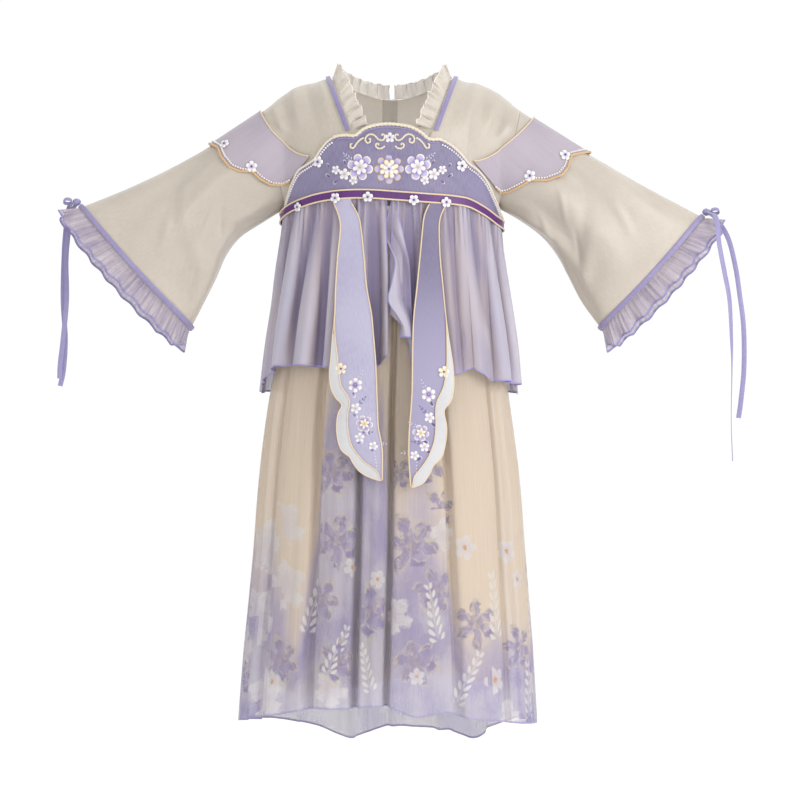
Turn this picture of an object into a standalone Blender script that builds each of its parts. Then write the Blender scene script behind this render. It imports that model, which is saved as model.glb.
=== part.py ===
"""Child's hanfu dress: a blouse with bell sleeves, a lobed chest panel, a peplum and a gathered skirt.

Metres, +Z up. The origin is on the centre plane at shoulder height. +X is the right of the front
view and -Y is the front. Every cloth piece is a thin closed wall, open at neck, cuffs and hem.
"""
import math

import bmesh
import bpy
import numpy as np

for old in list(bpy.data.objects):
    bpy.data.objects.remove(old, do_unlink=True)

# Cloth
WALL = 0.0012            # thickness of every cloth wall
SEAM = 0.0004            # gap kept between pieces that are sewn together
LIE = 0.0013             # gap under a piece that lies on a curved panel, at its facets' corners
CAP_LIE = 0.0018         # the same under a shoulder cap

# Blouse body
CHEST_HALF_WIDTH = 0.1465
CHEST_HALF_DEPTH = 0.0957
SHOULDER_ROUND = 0.11    # height over which the shoulder rounds down to full depth
UNDERARM_X = 0.1431
UNDERARM_Z = -0.1661
ARMHOLE_TOP_X = 0.1728
ARMHOLE_TOP_Z = -0.0351
ARMHOLE_HALF_DEPTH = 0.045
NECK_X = 0.083           # neckline at the shoulder line
NECK_FRONT_X = 0.020     # where the front edges end at the underarm level
NECK_BACK_DROP = 0.024   # how far the back neckline dips at its middle
NECK_BAND_WIDTH = 0.0066
NECK_BAND_END_Z = -0.071
COLLAR_HEIGHT = 0.021
COLLAR_WAVES = 12        # on each half
COLLAR_START_Z = -0.084  # low end of the ruffle, behind the chest panel's top
COLLAR_TUCK = 0.0065     # how far back the ruffle's low end goes behind the chest panel
COLLAR_INSET = 0.0022    # the ruffle's foot, inside the neckline edge
COLLAR_BACK_RISE = 0.0016
COLLAR_BACK_GAP = 0.003  # half of the gap between the two ruffles at the back

# Belt
BELT_HEIGHT = 0.011
BELT_START = 0.0033      # the belt's inside, from the blouse
BELT_THICK = 0.0014
PIPING = 0.0012          # how far the belt's edges stand out as piping
PIPING_WIDTH = 0.0022
BAND_BACK_RISE = 0.075   # height of the plain band across the back, over its height at the sides
BAND_SIDE_HEIGHT = 0.006

# Sleeves and cuffs
SLEEVE_COLUMNS = 28
SLEEVE_BOW = 0.0065      # how far the front and back of the cuff line stand out of its plane
SLEEVE_TILT = 0.006      # how far its back lies beyond its front
CUFF_BAND_WIDTH = 0.0068
CUFF_BAND_OUT = 0.0021   # the piped band's outside, from the sleeve
CUFF_RUFFLE_DEPTH = 0.0275
CUFF_WAVES = 18
CUFF_WAVE = 0.0046       # wave height at the ruffle's free edge
CUFF_FLARE = 0.62
CUFF_FLARE_SIDE = 0.3
KNOT = (0.0058, 0.0050, 0.0050)    # half sizes of a tie's knot
LOOP = (0.0058, 0.0042)            # half length and half height of its small loop
LOOP_START = 0.0062

# Skirt, lining and peplum
LINING_HEM_Z = -0.800
LINING_SWAY = 0.014      # how far the lining's hem rises and falls
PEPLUM_TOP_DROP = 0.0007
FRONT_WAVES = 6.5        # gathers of each front half of the peplum
BACK_WAVES = 11
SKIRT_TOP_Z = -0.1708
FOLD_START_Z = -0.18
FOLD_FULL_Z = -0.53
PANEL_SWELL = 0.003      # how far the cloth between two skirt folds swells out

# Streamers
BORDER_RAISE = 0.0010

FLOWER_EDGE = 0.0022     # height of a flower's petals
FLOWER_CROWN = 0.0030


def table(columns, *rows):
    """A table with named columns, as a dictionary of arrays."""
    return dict(zip(columns.split(), np.array(rows, float).T))


SHOULDER = table(
    "x z",
    (0.000, 0.0105), (0.083, 0.0095), (0.100, 0.0035), (0.123, -0.0010),
    (0.148, -0.0150), (0.1728, -0.0351), (0.200, -0.0530))

SLEEVE_LEFT = table(
    "top_x top_z under_x under_z half_depth",
    (0.1728, -0.0351, 0.1431, -0.1661, 0.045),
    (0.2080, -0.0590, 0.1750, -0.1860, 0.046),
    (0.2444, -0.0824, 0.2050, -0.2060, 0.046),
    (0.2850, -0.1055, 0.2240, -0.2310, 0.045),
    (0.3250, -0.1255, 0.2370, -0.2605, 0.043),
    (0.3720, -0.1465, 0.2530, -0.2930, 0.040),
    (0.4225, -0.1665, 0.2727, -0.3308, 0.036))

SLEEVE_RIGHT = table(
    "top_x top_z under_x under_z half_depth",
    (0.1728, -0.0351, 0.1431, -0.1661, 0.045),
    (0.2100, -0.0600, 0.1760, -0.1850, 0.046),
    (0.2480, -0.0840, 0.2040, -0.2065, 0.046),
    (0.2900, -0.1080, 0.2240, -0.2320, 0.045),
    (0.3300, -0.1312, 0.2390, -0.2605, 0.043),
    (0.3760, -0.1560, 0.2570, -0.2945, 0.040),
    (0.4215, -0.1800, 0.2835, -0.3308, 0.036))

# Each row joins a place on the cap's top seam to one on its scalloped edge.
CAP_LEFT = table(
    "seam_x seam_z edge_x edge_z",
    (0.1760, -0.0372, 0.2444, -0.0824),
    (0.1720, -0.0470, 0.2320, -0.0891),
    (0.1650, -0.0590, 0.2267, -0.1024),
    (0.1590, -0.0680, 0.2160, -0.1157),
    (0.1510, -0.0760, 0.2027, -0.1211),
    (0.1430, -0.0830, 0.1866, -0.1205),
    (0.1350, -0.0900, 0.1750, -0.1310),
    (0.1260, -0.0965, 0.1620, -0.1375),
    (0.1160, -0.1010, 0.1480, -0.1375),
    (0.1075, -0.1030, 0.1350, -0.1340))

CAP_RIGHT = table(
    "seam_x seam_z edge_x edge_z",
    (0.1900, -0.0464, 0.2657, -0.0938),
    (0.1830, -0.0560, 0.2392, -0.0996),
    (0.1740, -0.0660, 0.2336, -0.1171),
    (0.1650, -0.0745, 0.2256, -0.1265),
    (0.1543, -0.0833, 0.2070, -0.1328),
    (0.1430, -0.0925, 0.1850, -0.1320),
    (0.1330, -0.0990, 0.1735, -0.1385),
    (0.1230, -0.1045, 0.1560, -0.1465),
    (0.1140, -0.1080, 0.1455, -0.1465),
    (0.1065, -0.1090, 0.1375, -0.1425))

# Angles run round the body from 0 at the front to +90 on the right and 180 at the back.
CHEST_TOP = table(
    "degrees z",
    (-89.8, -0.1735), (-82, -0.1725), (-75, -0.1700), (-69.8, -0.1540), (-63, -0.1350), (-56.4, -0.1198),
    (-49.3, -0.1126), (-42.5, -0.1040), (-39.7, -0.0960), (-35.7, -0.0860), (-30.7, -0.0786),
    (-24.3, -0.0765), (-18.2, -0.0765), (-15.0, -0.0702), (-9.2, -0.0649), (-2.5, -0.0630),
    (4.7, -0.0643), (10.5, -0.0676), (15.2, -0.0742), (18.4, -0.0807), (25.7, -0.0824),
    (32.1, -0.0897), (37.9, -0.1001), (42.7, -0.1108), (50.3, -0.1206), (57.5, -0.1333),
    (64.2, -0.1497), (70, -0.1620), (75.5, -0.1726), (82, -0.1790), (89.8, -0.1840))

BELT_LINE = table(
    "degrees z",
    (-180, -0.185), (-135, -0.184), (-90, -0.181), (-57, -0.166), (-39, -0.158), (-26, -0.155),
    (-11, -0.155), (3, -0.1575), (18, -0.160), (33, -0.162), (42, -0.1645), (53, -0.173),
    (68, -0.185), (90, -0.191), (135, -0.188), (180, -0.185))

SKIRT = table(
    "z half_width half_depth centre_x lining_inset",
    (-0.857, 0.1990, 0.1370, -0.0055, 0.030), (-0.760, 0.1925, 0.1330, -0.0050, 0.030),
    (-0.640, 0.1820, 0.1270, -0.0040, 0.029), (-0.530, 0.1735, 0.1200, -0.0040, 0.028),
    (-0.420, 0.1600, 0.1115, -0.0040, 0.023), (-0.380, 0.1540, 0.1070, -0.0030, 0.019),
    (-0.300, 0.1475, 0.1000, -0.0020, 0.012), (-0.220, 0.1455, 0.0958, -0.0010, 0.005),
    (-0.1668, 0.1461, 0.0953, 0.0000, 0.0017))

SKIRT_HEM = table(
    "degrees z",
    (-180, -0.882), (-163, -0.897), (-151, -0.881), (-134, -0.8686), (-90, -0.8575),
    (-64, -0.8463), (-45, -0.8379), (-30, -0.8283), (-18, -0.8277), (0, -0.8245),
    (11, -0.8374), (22, -0.8316), (33, -0.8419), (46, -0.8470), (59, -0.8528), (76, -0.8575),
    (90, -0.8610), (123, -0.8660), (134, -0.8800), (142, -0.8960), (156, -0.8864),
    (169, -0.8842), (180, -0.882))

# The skirt's deep folds, as angles at the waist and at the hem.
SKIRT_FOLDS = table(
    "waist hem half_width depth",
    (-165, -164, 0.012, 0.016), (-140, -139, 0.010, 0.013), (-114, -112, 0.010, 0.012),
    (-88, -86, 0.009, 0.009), (-61, -60, 0.010, 0.011), (-35, -32.6, 0.011, 0.015),
    (-13, -13.3, 0.008, 0.022), (3.1, -0.5, 0.007, 0.023), (25, 28.5, 0.010, 0.013),
    (57.4, 54.2, 0.008, 0.011), (84, 82, 0.009, 0.009), (110, 109, 0.010, 0.012),
    (134, 133, 0.011, 0.015), (157, 158, 0.010, 0.013), (179, 178, 0.009, 0.012))

PEPLUM = table(
    "drop half_width half_depth centre_x wave",
    (0.000, 0.1484, 0.0976, 0.0000, 0.0000), (0.004, 0.1484, 0.0976, 0.0000, 0.0000),
    (0.008, 0.1485, 0.0977, 0.0000, 0.0000), (0.035, 0.1512, 0.1007, -0.0005, 0.0022),
    (0.075, 0.1550, 0.1070, -0.0015, 0.0048), (0.115, 0.1590, 0.1125, -0.0020, 0.0068),
    (0.165, 0.1650, 0.1180, -0.0025, 0.0088), (0.255, 0.1755, 0.1285, -0.0035, 0.0100))

PEPLUM_HEM = table(
    "x z",
    (-0.1845, -0.4145), (-0.1633, -0.3929), (-0.1487, -0.3817), (-0.1242, -0.3802),
    (-0.0831, -0.3835), (-0.0204, -0.3810), (-0.0045, -0.3667), (0.0150, -0.3830),
    (0.0264, -0.3849), (0.0799, -0.3934), (0.1078, -0.3833), (0.1281, -0.4002),
    (0.1545, -0.4013), (0.1769, -0.4104))
PEPLUM_BACK_HEM_Z = -0.418

# The right half's front edge falls away from the left one in a cascade.
PEPLUM_EDGE_LEFT = table("z x", (-0.42, -0.0050), (-0.15, -0.0040))
PEPLUM_EDGE_RIGHT = table(
    "z x", (-0.3900, 0.0266), (-0.3537, 0.0225), (-0.3238, 0.0108), (-0.3160, -0.0028),
    (-0.15, -0.0033))

STREAMER_LIE = table(
    "z half_width half_depth",
    (-0.540, 0.190, 0.1430), (-0.400, 0.188, 0.1430), (-0.360, 0.182, 0.1375),
    (-0.320, 0.175, 0.1290), (-0.280, 0.168, 0.1215), (-0.240, 0.162, 0.1140),
    (-0.200, 0.156, 0.1064), (-0.180, 0.1535, 0.1030), (-0.160, 0.1513, 0.1004),
    (-0.150, 0.1510, 0.1000))

# Edges of each streamer; border is the raised edging's inner line, equal to outer where it is absent.
STREAMER_LEFT = table(
    "z outer inner border",
    (-0.1660, -0.0762, -0.0535, -0.0762), (-0.1828, -0.0698, -0.0443, -0.0698),
    (-0.2000, -0.0672, -0.0403, -0.0672), (-0.2384, -0.0707, -0.0362, -0.0707),
    (-0.2766, -0.0730, -0.0329, -0.0730), (-0.3134, -0.0742, -0.0263, -0.0742),
    (-0.3400, -0.0765, -0.0238, -0.0735), (-0.3695, -0.0787, -0.0212, -0.0700),
    (-0.3877, -0.0803, -0.0203, -0.0682), (-0.4071, -0.0790, -0.0195, -0.0650),
    (-0.4214, -0.0730, -0.0190, -0.0559), (-0.4317, -0.0643, -0.0186, -0.0545),
    (-0.4427, -0.0690, -0.0182, -0.0566), (-0.4602, -0.0711, -0.0174, -0.0566),
    (-0.4797, -0.0690, -0.0136, -0.0532), (-0.4913, -0.0638, -0.0121, -0.0475),
    (-0.4991, -0.0540, -0.0120, -0.0410), (-0.5056, -0.0505, -0.0120, -0.0352),
    (-0.5167, -0.0423, -0.0121, -0.0200), (-0.5240, -0.0310, -0.0122, -0.0160),
    (-0.5289, -0.0175, -0.0123, -0.0145))

STREAMER_RIGHT = table(
    "z outer inner border",
    (-0.1673, 0.0719, 0.0494, 0.0719), (-0.1828, 0.0645, 0.0429, 0.0645),
    (-0.2000, 0.0619, 0.0404, 0.0619), (-0.2384, 0.0631, 0.0368, 0.0631),
    (-0.2766, 0.0666, 0.0330, 0.0666), (-0.3134, 0.0700, 0.0290, 0.0700),
    (-0.3400, 0.0732, 0.0276, 0.0712), (-0.3799, 0.0791, 0.0269, 0.0711),
    (-0.4071, 0.0804, 0.0266, 0.0672), (-0.4265, 0.0764, 0.0257, 0.0587),
    (-0.4395, 0.0678, 0.0248, 0.0567), (-0.4602, 0.0710, 0.0231, 0.0569),
    (-0.4797, 0.0697, 0.0222, 0.0545), (-0.4991, 0.0644, 0.0222, 0.0471),
    (-0.5101, 0.0539, 0.0228, 0.0400), (-0.5194, 0.0499, 0.0235, 0.0328),
    (-0.5246, 0.0464, 0.0238, 0.0290), (-0.5327, 0.0406, 0.0244, 0.0275),
    (-0.5380, 0.0288, 0.0249, 0.0262))

# Ribbon tails of the cuff ties: route points and the turn of the ribbon's face in degrees.
TAIL_WIDTH = 0.0066
TAILS = {
    "tie_tail_left_a": table(
        "x y z turn",
        (-0.4278, 0.0051, -0.1570, 40), (-0.4405, 0.030, -0.1640, 30), (-0.4466, 0.042, -0.2000, 10),
        (-0.4490, 0.045, -0.2365, 0), (-0.4500, 0.045, -0.2885, 5), (-0.4470, 0.045, -0.3432, 10),
        (-0.4495, 0.045, -0.3842, 5), (-0.4540, 0.045, -0.4061, 0)),
    "tie_tail_left_b": table(
        "x y z turn",
        (-0.4270, 0.0046, -0.1604, 40), (-0.4370, 0.022, -0.1720, 30), (-0.4420, 0.0340, -0.2010, 10),
        (-0.4450, 0.038, -0.2365, 0), (-0.4442, 0.038, -0.2885, -5), (-0.4492, 0.038, -0.3432, 5),
        (-0.4530, 0.038, -0.3760, 0), (-0.4538, 0.038, -0.3960, 0)),
    "tie_tail_right_a": table(
        "x y z turn",
        (0.4263, -0.0052, -0.1725, 32), (0.4340, -0.028, -0.1810, 20), (0.4363, -0.042, -0.2174, 20),
        (0.4433, -0.045, -0.2570, 20), (0.4496, -0.045, -0.2927, 30), (0.4523, -0.045, -0.3463, 50),
        (0.4528, -0.045, -0.3820, 70), (0.4517, -0.045, -0.4519, 80), (0.4537, -0.045, -0.5065, 75)),
    "tie_tail_right_b": table(
        "x y z turn",
        (0.4267, 0.0052, -0.1725, -35), (0.4430, 0.030, -0.1800, -20), (0.4595, 0.042, -0.2050, 0),
        (0.4696, 0.045, -0.2433, 5), (0.4752, 0.045, -0.2803, 5), (0.4807, 0.045, -0.3254, 0),
        (0.4813, 0.045, -0.3808, -5), (0.4772, 0.045, -0.4253, -5), (0.4738, 0.045, -0.4499, 0)),
}

# Pearl flowers; seat is a flower's height over the curve of the panel under it.
BELT_FLOWERS = table(
    "degrees radius seat", (-55, 0.0065, 0.0003), (-29.4, 0.0072, 0.0002), (-12, 0.0072, 0.0001),
    (11, 0.0072, 0.0002), (28.2, 0.0072, 0.0003))
PANEL_FLOWERS = table(
    "x z radius seat", (-0.0955, -0.1110, 0.0078, 0.0003), (0.0905, -0.1165, 0.0078, 0.0003))
CAP_FLOWERS = table(
    "x z radius seat", (-0.1866, -0.1150, 0.0080, 0.0002), (-0.2225, -0.0850, 0.0070, 0.0002),
    (0.1840, -0.1265, 0.0080, 0.0002), (0.2300, -0.1000, 0.0080, -0.0001))

COLOURS = {
    "cream": (0.72, 0.66, 0.58), "sheer_cream": (0.70, 0.63, 0.53), "band": (0.36, 0.31, 0.55),
    "cap": (0.56, 0.52, 0.57), "chest": (0.32, 0.27, 0.45), "belt": (0.10, 0.03, 0.17),
    "peplum": (0.52, 0.47, 0.62), "streamer": (0.50, 0.46, 0.62), "border": (0.64, 0.66, 0.68),
    "skirt": (0.66, 0.58, 0.56), "lining": (0.68, 0.62, 0.55), "ruffle": (0.46, 0.40, 0.54),
    "ribbon": (0.36, 0.30, 0.60), "pearl": (0.86, 0.85, 0.84),
}
materials = {}


def finish(name):
    """The Principled material of one kind of cloth or trim."""
    if name not in materials:
        made = bpy.data.materials.new(name)
        made.use_nodes = True
        shader = made.node_tree.nodes["Principled BSDF"]
        shader.inputs["Base Color"].default_value = (*COLOURS[name], 1)
        shader.inputs["Roughness"].default_value = 0.25 if name == "pearl" else 0.7
        materials[name] = made
    return materials[name]


def smooth(rows, column, at, key):
    """A column's value at a key, on the smooth curve through the table's rows."""
    keys = rows[key]
    values = rows[column]
    slopes = np.gradient(values, keys)
    at = np.clip(at, keys[0], keys[-1])
    i = np.clip(np.searchsorted(keys, at) - 1, 0, len(keys) - 2)
    span = keys[i + 1] - keys[i]
    t = (at - keys[i]) / span
    return ((1 + 2 * t) * (1 - t) ** 2 * values[i] + t * (1 - t) ** 2 * span * slopes[i]
            + t * t * (3 - 2 * t) * values[i + 1] - t * t * (1 - t) * span * slopes[i + 1])


def straight(rows, column, at, key):
    """A column's value at a key, on straight lines between the table's rows."""
    return np.interp(at, rows[key], rows[column])


def along(rows, column, at):
    """A column's value at a row number, on the smooth curve through the rows."""
    numbered = dict(rows, row=np.arange(len(rows[column])))
    return smooth(numbered, column, at, "row")


def add(name, bm, colour):
    """One named object with its own material, faces outwards."""
    bmesh.ops.recalc_face_normals(bm, faces=bm.faces)
    mesh = bpy.data.meshes.new(name)
    bm.to_mesh(mesh)
    bm.free()
    mesh.materials.append(finish(colour))
    mesh.shade_smooth()
    made = bpy.data.objects.new(name, mesh)
    bpy.context.collection.objects.link(made)
    return made


def cloth(name, outer, inner, colour, ring=False):
    """A closed wall between two grids of points; a ring joins its last column to its first."""
    bm = bmesh.new()
    rows, columns = outer.shape[:2]
    out = [[bm.verts.new(p) for p in row] for row in outer]
    ins = [[bm.verts.new(p) for p in row] for row in inner]
    last = columns if ring else columns - 1
    for i in range(rows - 1):
        for j in range(last):
            k = (j + 1) % columns
            bm.faces.new((out[i][j], out[i][k], out[i + 1][k], out[i + 1][j]))
            bm.faces.new((ins[i][j], ins[i + 1][j], ins[i + 1][k], ins[i][k]))
    for j in range(last):
        k = (j + 1) % columns
        bm.faces.new((out[0][j], ins[0][j], ins[0][k], out[0][k]))
        bm.faces.new((out[-1][j], out[-1][k], ins[-1][k], ins[-1][j]))
    if not ring:
        for i in range(rows - 1):
            bm.faces.new((out[i][0], out[i + 1][0], ins[i + 1][0], ins[i][0]))
            bm.faces.new((out[i][-1], ins[i][-1], ins[i + 1][-1], out[i + 1][-1]))
    return add(name, bm, colour)


def normals(grid):
    """Unit normals of an open grid of points, all to one side."""
    down = np.gradient(grid, axis=0)
    across = np.gradient(grid, axis=1)
    normal = np.cross(down, across)
    return normal / np.linalg.norm(normal, axis=2, keepdims=True)


def panel(name, grid, away, colour, lift=0.0, thick=WALL):
    """A wall made from a panel's points, moved out by lift, with its thickness inside."""
    out = normals(grid)
    if np.mean(np.sum(out * np.asarray(away), axis=2)) < 0:
        out = -out
    return cloth(name, grid + out * lift, grid + out * (lift - thick), colour)


def ellipse_point(degrees, half_width, half_depth, centre_x, grow):
    """A point round the body, moved out by grow along the ellipse's normal."""
    turn = math.radians(degrees)
    side, front = math.sin(turn), math.cos(turn)
    out = np.array((side / half_width, -front / half_depth))
    out /= np.linalg.norm(out)
    return (centre_x + half_width * side + out[0] * grow, -half_depth * front + out[1] * grow)


def shoulder_z(x):
    return smooth(SHOULDER, "z", x, "x")


def blouse_depth(x, z):
    """Half depth of the blouse body at a place of the front view."""
    x = abs(x)
    lean = (ARMHOLE_TOP_X - UNDERARM_X) / (ARMHOLE_TOP_Z - UNDERARM_Z)
    foot = x
    for _ in range(5):
        foot = x - lean * (foot / UNDERARM_X) ** 2 * max(z - UNDERARM_Z, 0)
    top = float(shoulder_z(foot))
    for _ in range(5):
        top = float(shoulder_z(foot + lean * (foot / UNDERARM_X) ** 2 * (top - UNDERARM_Z)))
    rise = min(max((z - UNDERARM_Z) / (top - UNDERARM_Z), 0), 1)
    arm = ARMHOLE_HALF_DEPTH * 2 * math.sqrt(rise * (1 - rise))
    fall = min(max((top - z) / SHOULDER_ROUND, 0), 1)
    trunk = CHEST_HALF_DEPTH * math.sqrt(max(0, 1 - (x / CHEST_HALF_WIDTH) ** 2))
    trunk *= math.sqrt(1 - (1 - fall) ** 2)
    return (trunk ** 4 + arm ** 4) ** 0.25


def sleeve_line(rows, at):
    """Top and underside points of a sleeve's section, in the front view."""
    return (np.array((along(rows, "top_x", at), along(rows, "top_z", at))),
            np.array((along(rows, "under_x", at), along(rows, "under_z", at))))


def arm_depth(rows, x, z):
    """Half depth of the blouse body or sleeve at a place of the front view."""
    place = np.array((abs(x), z))
    low, high = 0.0, float(len(rows["top_x"]) - 1)
    top, under = sleeve_line(rows, low)
    chord = under - top
    if chord[0] * (place - top)[1] < chord[1] * (place - top)[0]:
        return blouse_depth(x, z)
    for _ in range(24):
        at = (low + high) / 2
        top, under = sleeve_line(rows, at)
        chord = under - top
        if chord[0] * (place - top)[1] < chord[1] * (place - top)[0]:
            high = at
        else:
            low = at
    part = min(max(np.dot(place - top, chord) / np.dot(chord, chord), 0), 1)
    return float(along(rows, "half_depth", at)) * 2 * math.sqrt(part * (1 - part))


def grid(rows, columns, point):
    return np.array([[point(i, j) for j in columns] for i in rows], float)


def make_blouse():
    """Two fronts open in a V, and a back with a low round neckline."""
    falls = (0.0, 0.015, 0.06, 0.13, 0.24, 0.4, 0.6, 0.72, 0.84, 1.0)

    for side, name in ((-1, "blouse_front_left"), (1, "blouse_front_right")):
        def front(fall, part):
            x_top = NECK_X + (ARMHOLE_TOP_X - NECK_X) * part
            x_low = NECK_FRONT_X + (UNDERARM_X - NECK_FRONT_X) * part
            x = x_top + (x_low - x_top) * fall
            z = shoulder_z(x_top) * (1 - fall) + UNDERARM_Z * fall
            return side * x, -blouse_depth(x, z) - SEAM / 2, z
        points = grid(falls, (0, 0.14, 0.28, 0.42, 0.56, 0.7, 0.83, 0.93, 1), front)
        panel(name, points, (0, -1, 0), "cream")

    def back(fall, part):
        x_top = ARMHOLE_TOP_X * part
        z_top = shoulder_z(abs(x_top))
        if abs(x_top) < NECK_X:
            z_top -= NECK_BACK_DROP * (1 - (x_top / NECK_X) ** 2)
        x_low = UNDERARM_X * part
        x = x_top + (x_low - x_top) * fall
        z = z_top * (1 - fall) + UNDERARM_Z * fall
        return x, blouse_depth(x, z) + SEAM / 2, z
    neck = NECK_X / ARMHOLE_TOP_X
    side_parts = np.array((neck, 0.62, 0.75, 0.86, 0.94, 1))
    parts = np.concatenate((-side_parts[::-1],
                            neck * np.sin(np.linspace(-0.5, 0.5, 11)[1:-1] * math.pi),
                            side_parts))
    panel("blouse_back", grid(falls, parts, back), (0, 1, 0), "cream")


def neckline_x(z):
    """Distance of the front neckline edge from the centre plane at a height."""
    part = (z - UNDERARM_Z) / (float(shoulder_z(NECK_X)) - UNDERARM_Z)
    return NECK_FRONT_X + (NECK_X - NECK_FRONT_X) * part


def make_neck_bands():
    """A flat band along each front edge of the neckline."""
    top = float(shoulder_z(NECK_X)) - 0.0020
    heights = (top, top - 0.0015, top - 0.004, top - 0.009, top - 0.017, top - 0.03, top - 0.05,
               NECK_BAND_END_Z)
    for side, name in ((-1, "neck_band_left"), (1, "neck_band_right")):
        def band(z, part):
            x = neckline_x(z) + NECK_BAND_WIDTH * part
            return side * x, -blouse_depth(x, z) - SEAM / 2, z
        panel(name, grid(heights, (0.02, 0.5, 1), band), (0, -1, 0.2), "band",
              lift=LIE + WALL)


def make_collar():
    """A ruffle inside each half of the neckline, standing at the shoulder and the back."""
    lean = table("part across back up", (0, 0.85, -0.10, 0.30), (0.25, 0.80, -0.15, 0.45),
                 (0.48, 0.50, -0.05, 0.85), (0.60, 0.30, 0.10, 1.0), (1, 0.0, 0.22, 0.95))
    front_share = 0.5
    columns = COLLAR_WAVES * 4 + 1
    for side, name in ((-1, "collar_ruffle_left"), (1, "collar_ruffle_right")):
        base, height, sway = [], [], []
        for j in range(columns):
            part = j / (columns - 1)
            if part < front_share:
                z = COLLAR_START_Z + (shoulder_z(NECK_X) - COLLAR_START_Z) * part / front_share
                x = neckline_x(z) - COLLAR_INSET
                y = -blouse_depth(neckline_x(z), z) + COLLAR_TUCK * max(0, 1 - part / 0.2)
            else:
                turn = (part - front_share) / (1 - front_share)
                reach = NECK_X - COLLAR_INSET - COLLAR_BACK_GAP
                x = COLLAR_BACK_GAP + reach * math.cos(turn * math.pi / 2)
                z = shoulder_z(NECK_X) - NECK_BACK_DROP * (1 - (x / NECK_X) ** 2)
                y = blouse_depth(x, z) - WALL / 2
                z += COLLAR_BACK_RISE
            way = [float(smooth(lean, column, part, "part")) for column in ("across", "back", "up")]
            way = np.array((-side * way[0], way[1], way[2]))
            base.append((side * x, y, z + SEAM))
            height.append(way / np.linalg.norm(way) * COLLAR_HEIGHT)
            calm = 1 - 0.7 * math.exp(-((part - 0.55) / 0.06) ** 2)
            sway.append(calm * math.sin(2 * math.pi * COLLAR_WAVES * part
                                        + 0.8 * math.sin(9 * part)))
        base, height = np.array(base), np.array(height)
        run = np.gradient(base, axis=0)
        out = np.cross(run, height)
        out *= side / np.linalg.norm(out, axis=1, keepdims=True)
        sway = np.array(sway)[:, None]
        levels = (0.0, 0.45, 1.0)
        wave = (0.0, 0.0018, 0.0032)
        outer = np.array([base + height * level + out * sway * size
                          for level, size in zip(levels, wave)])
        cloth(name, outer, outer - out * 0.8 * WALL, "sheer_cream")


def sleeve_section(rows, at, angles, grow=0.0, push=0.0):
    """A ring round a sleeve, as (points, outward run, top direction); x is away from the body."""
    top, under = sleeve_line(rows, at)
    middle = (top + under) / 2
    half = np.linalg.norm(top - under) / 2
    rise = (top - under) / (2 * half)
    run = np.array((rise[1], -rise[0]))
    depth = float(along(rows, "half_depth", at))
    share = (at / (len(rows["top_x"]) - 1)) ** 3
    points = []
    for angle in angles:
        c, s = math.cos(angle), math.sin(angle)
        ahead = share * (SLEEVE_BOW * (1 - c * c) - SLEEVE_TILT * s) + push
        x, z = middle + rise * (half + grow) * c + run * ahead
        points.append((x, -(depth + grow) * s, z))
    return np.array(points), run, rise, half, depth


def mirrored(points, side):
    return points * np.array((side, 1, 1))


def even_angles(half, depth, count):
    """Angles that part an ellipse into even lengths."""
    fine = np.linspace(0, 2 * math.pi, 721)
    steps = np.hypot(half * np.diff(np.cos(fine)), depth * np.diff(np.sin(fine)))
    length = np.concatenate(((0,), np.cumsum(steps)))
    return np.interp(np.arange(count) / count * length[-1], length, fine)


def make_sleeve(side, name, rows):
    """A bell sleeve from the armhole to the cuff line."""
    angles = np.linspace(0, 2 * math.pi, SLEEVE_COLUMNS, endpoint=False)
    last = len(rows["top_x"]) - 1
    outer, inner = [], []
    for at in range(last + 1):
        push = SEAM if at == 0 else 0
        outer.append(sleeve_section(rows, at, angles, 0, push)[0])
        inner.append(sleeve_section(rows, at, angles, -WALL, push)[0])
    cloth("sleeve_" + name, mirrored(np.array(outer), side), mirrored(np.array(inner), side),
          "cream", ring=True)


def make_cuff(side, name, rows):
    """The piped band round the sleeve's end and the gathered ruffle beyond it."""
    last = len(rows["top_x"]) - 1
    angles = np.linspace(0, 2 * math.pi, SLEEVE_COLUMNS, endpoint=False)
    outer, inner = [], []
    for push in (-CUFF_BAND_WIDTH, 0):
        outer.append(sleeve_section(rows, last, angles, CUFF_BAND_OUT, push)[0])
        inner.append(sleeve_section(rows, last, angles, CUFF_BAND_OUT - WALL, push)[0])
    cloth("cuff_band_" + name, mirrored(np.array(outer), side), mirrored(np.array(inner), side),
          "band", ring=True)

    _, run, rise, half, depth = sleeve_section(rows, last, (0,))
    angles = even_angles(half, depth, CUFF_WAVES * 4)
    outer, inner = [], []
    for level in (0.0, 0.4, 1.0):
        reach = CUFF_RUFFLE_DEPTH * level
        ring = sleeve_section(rows, last, angles, -0.0001, SEAM + reach)[0]
        thin = sleeve_section(rows, last, angles, -0.0001 - 0.85 * WALL, SEAM + reach)[0]
        for j, angle in enumerate(angles):
            c, s = math.cos(angle), math.sin(angle)
            away = np.array((rise[0] * c / half, -s / depth, rise[1] * c / half))
            away /= np.linalg.norm(away)
            phase = 2 * math.pi * j / 4 + 0.5 * math.sin(5 * angle)
            shift = away * CUFF_WAVE * level * math.sin(phase)
            shift += np.array((rise[0] * c, 0, rise[1] * c)) * CUFF_FLARE * reach
            shift += np.array((0, -s, 0)) * CUFF_FLARE_SIDE * reach
            ring[j] += shift
            thin[j] += shift
        outer.append(ring)
        inner.append(thin)
    cloth("cuff_ruffle_" + name, mirrored(np.array(outer), side), mirrored(np.array(inner), side),
          "ruffle", ring=True)


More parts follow.
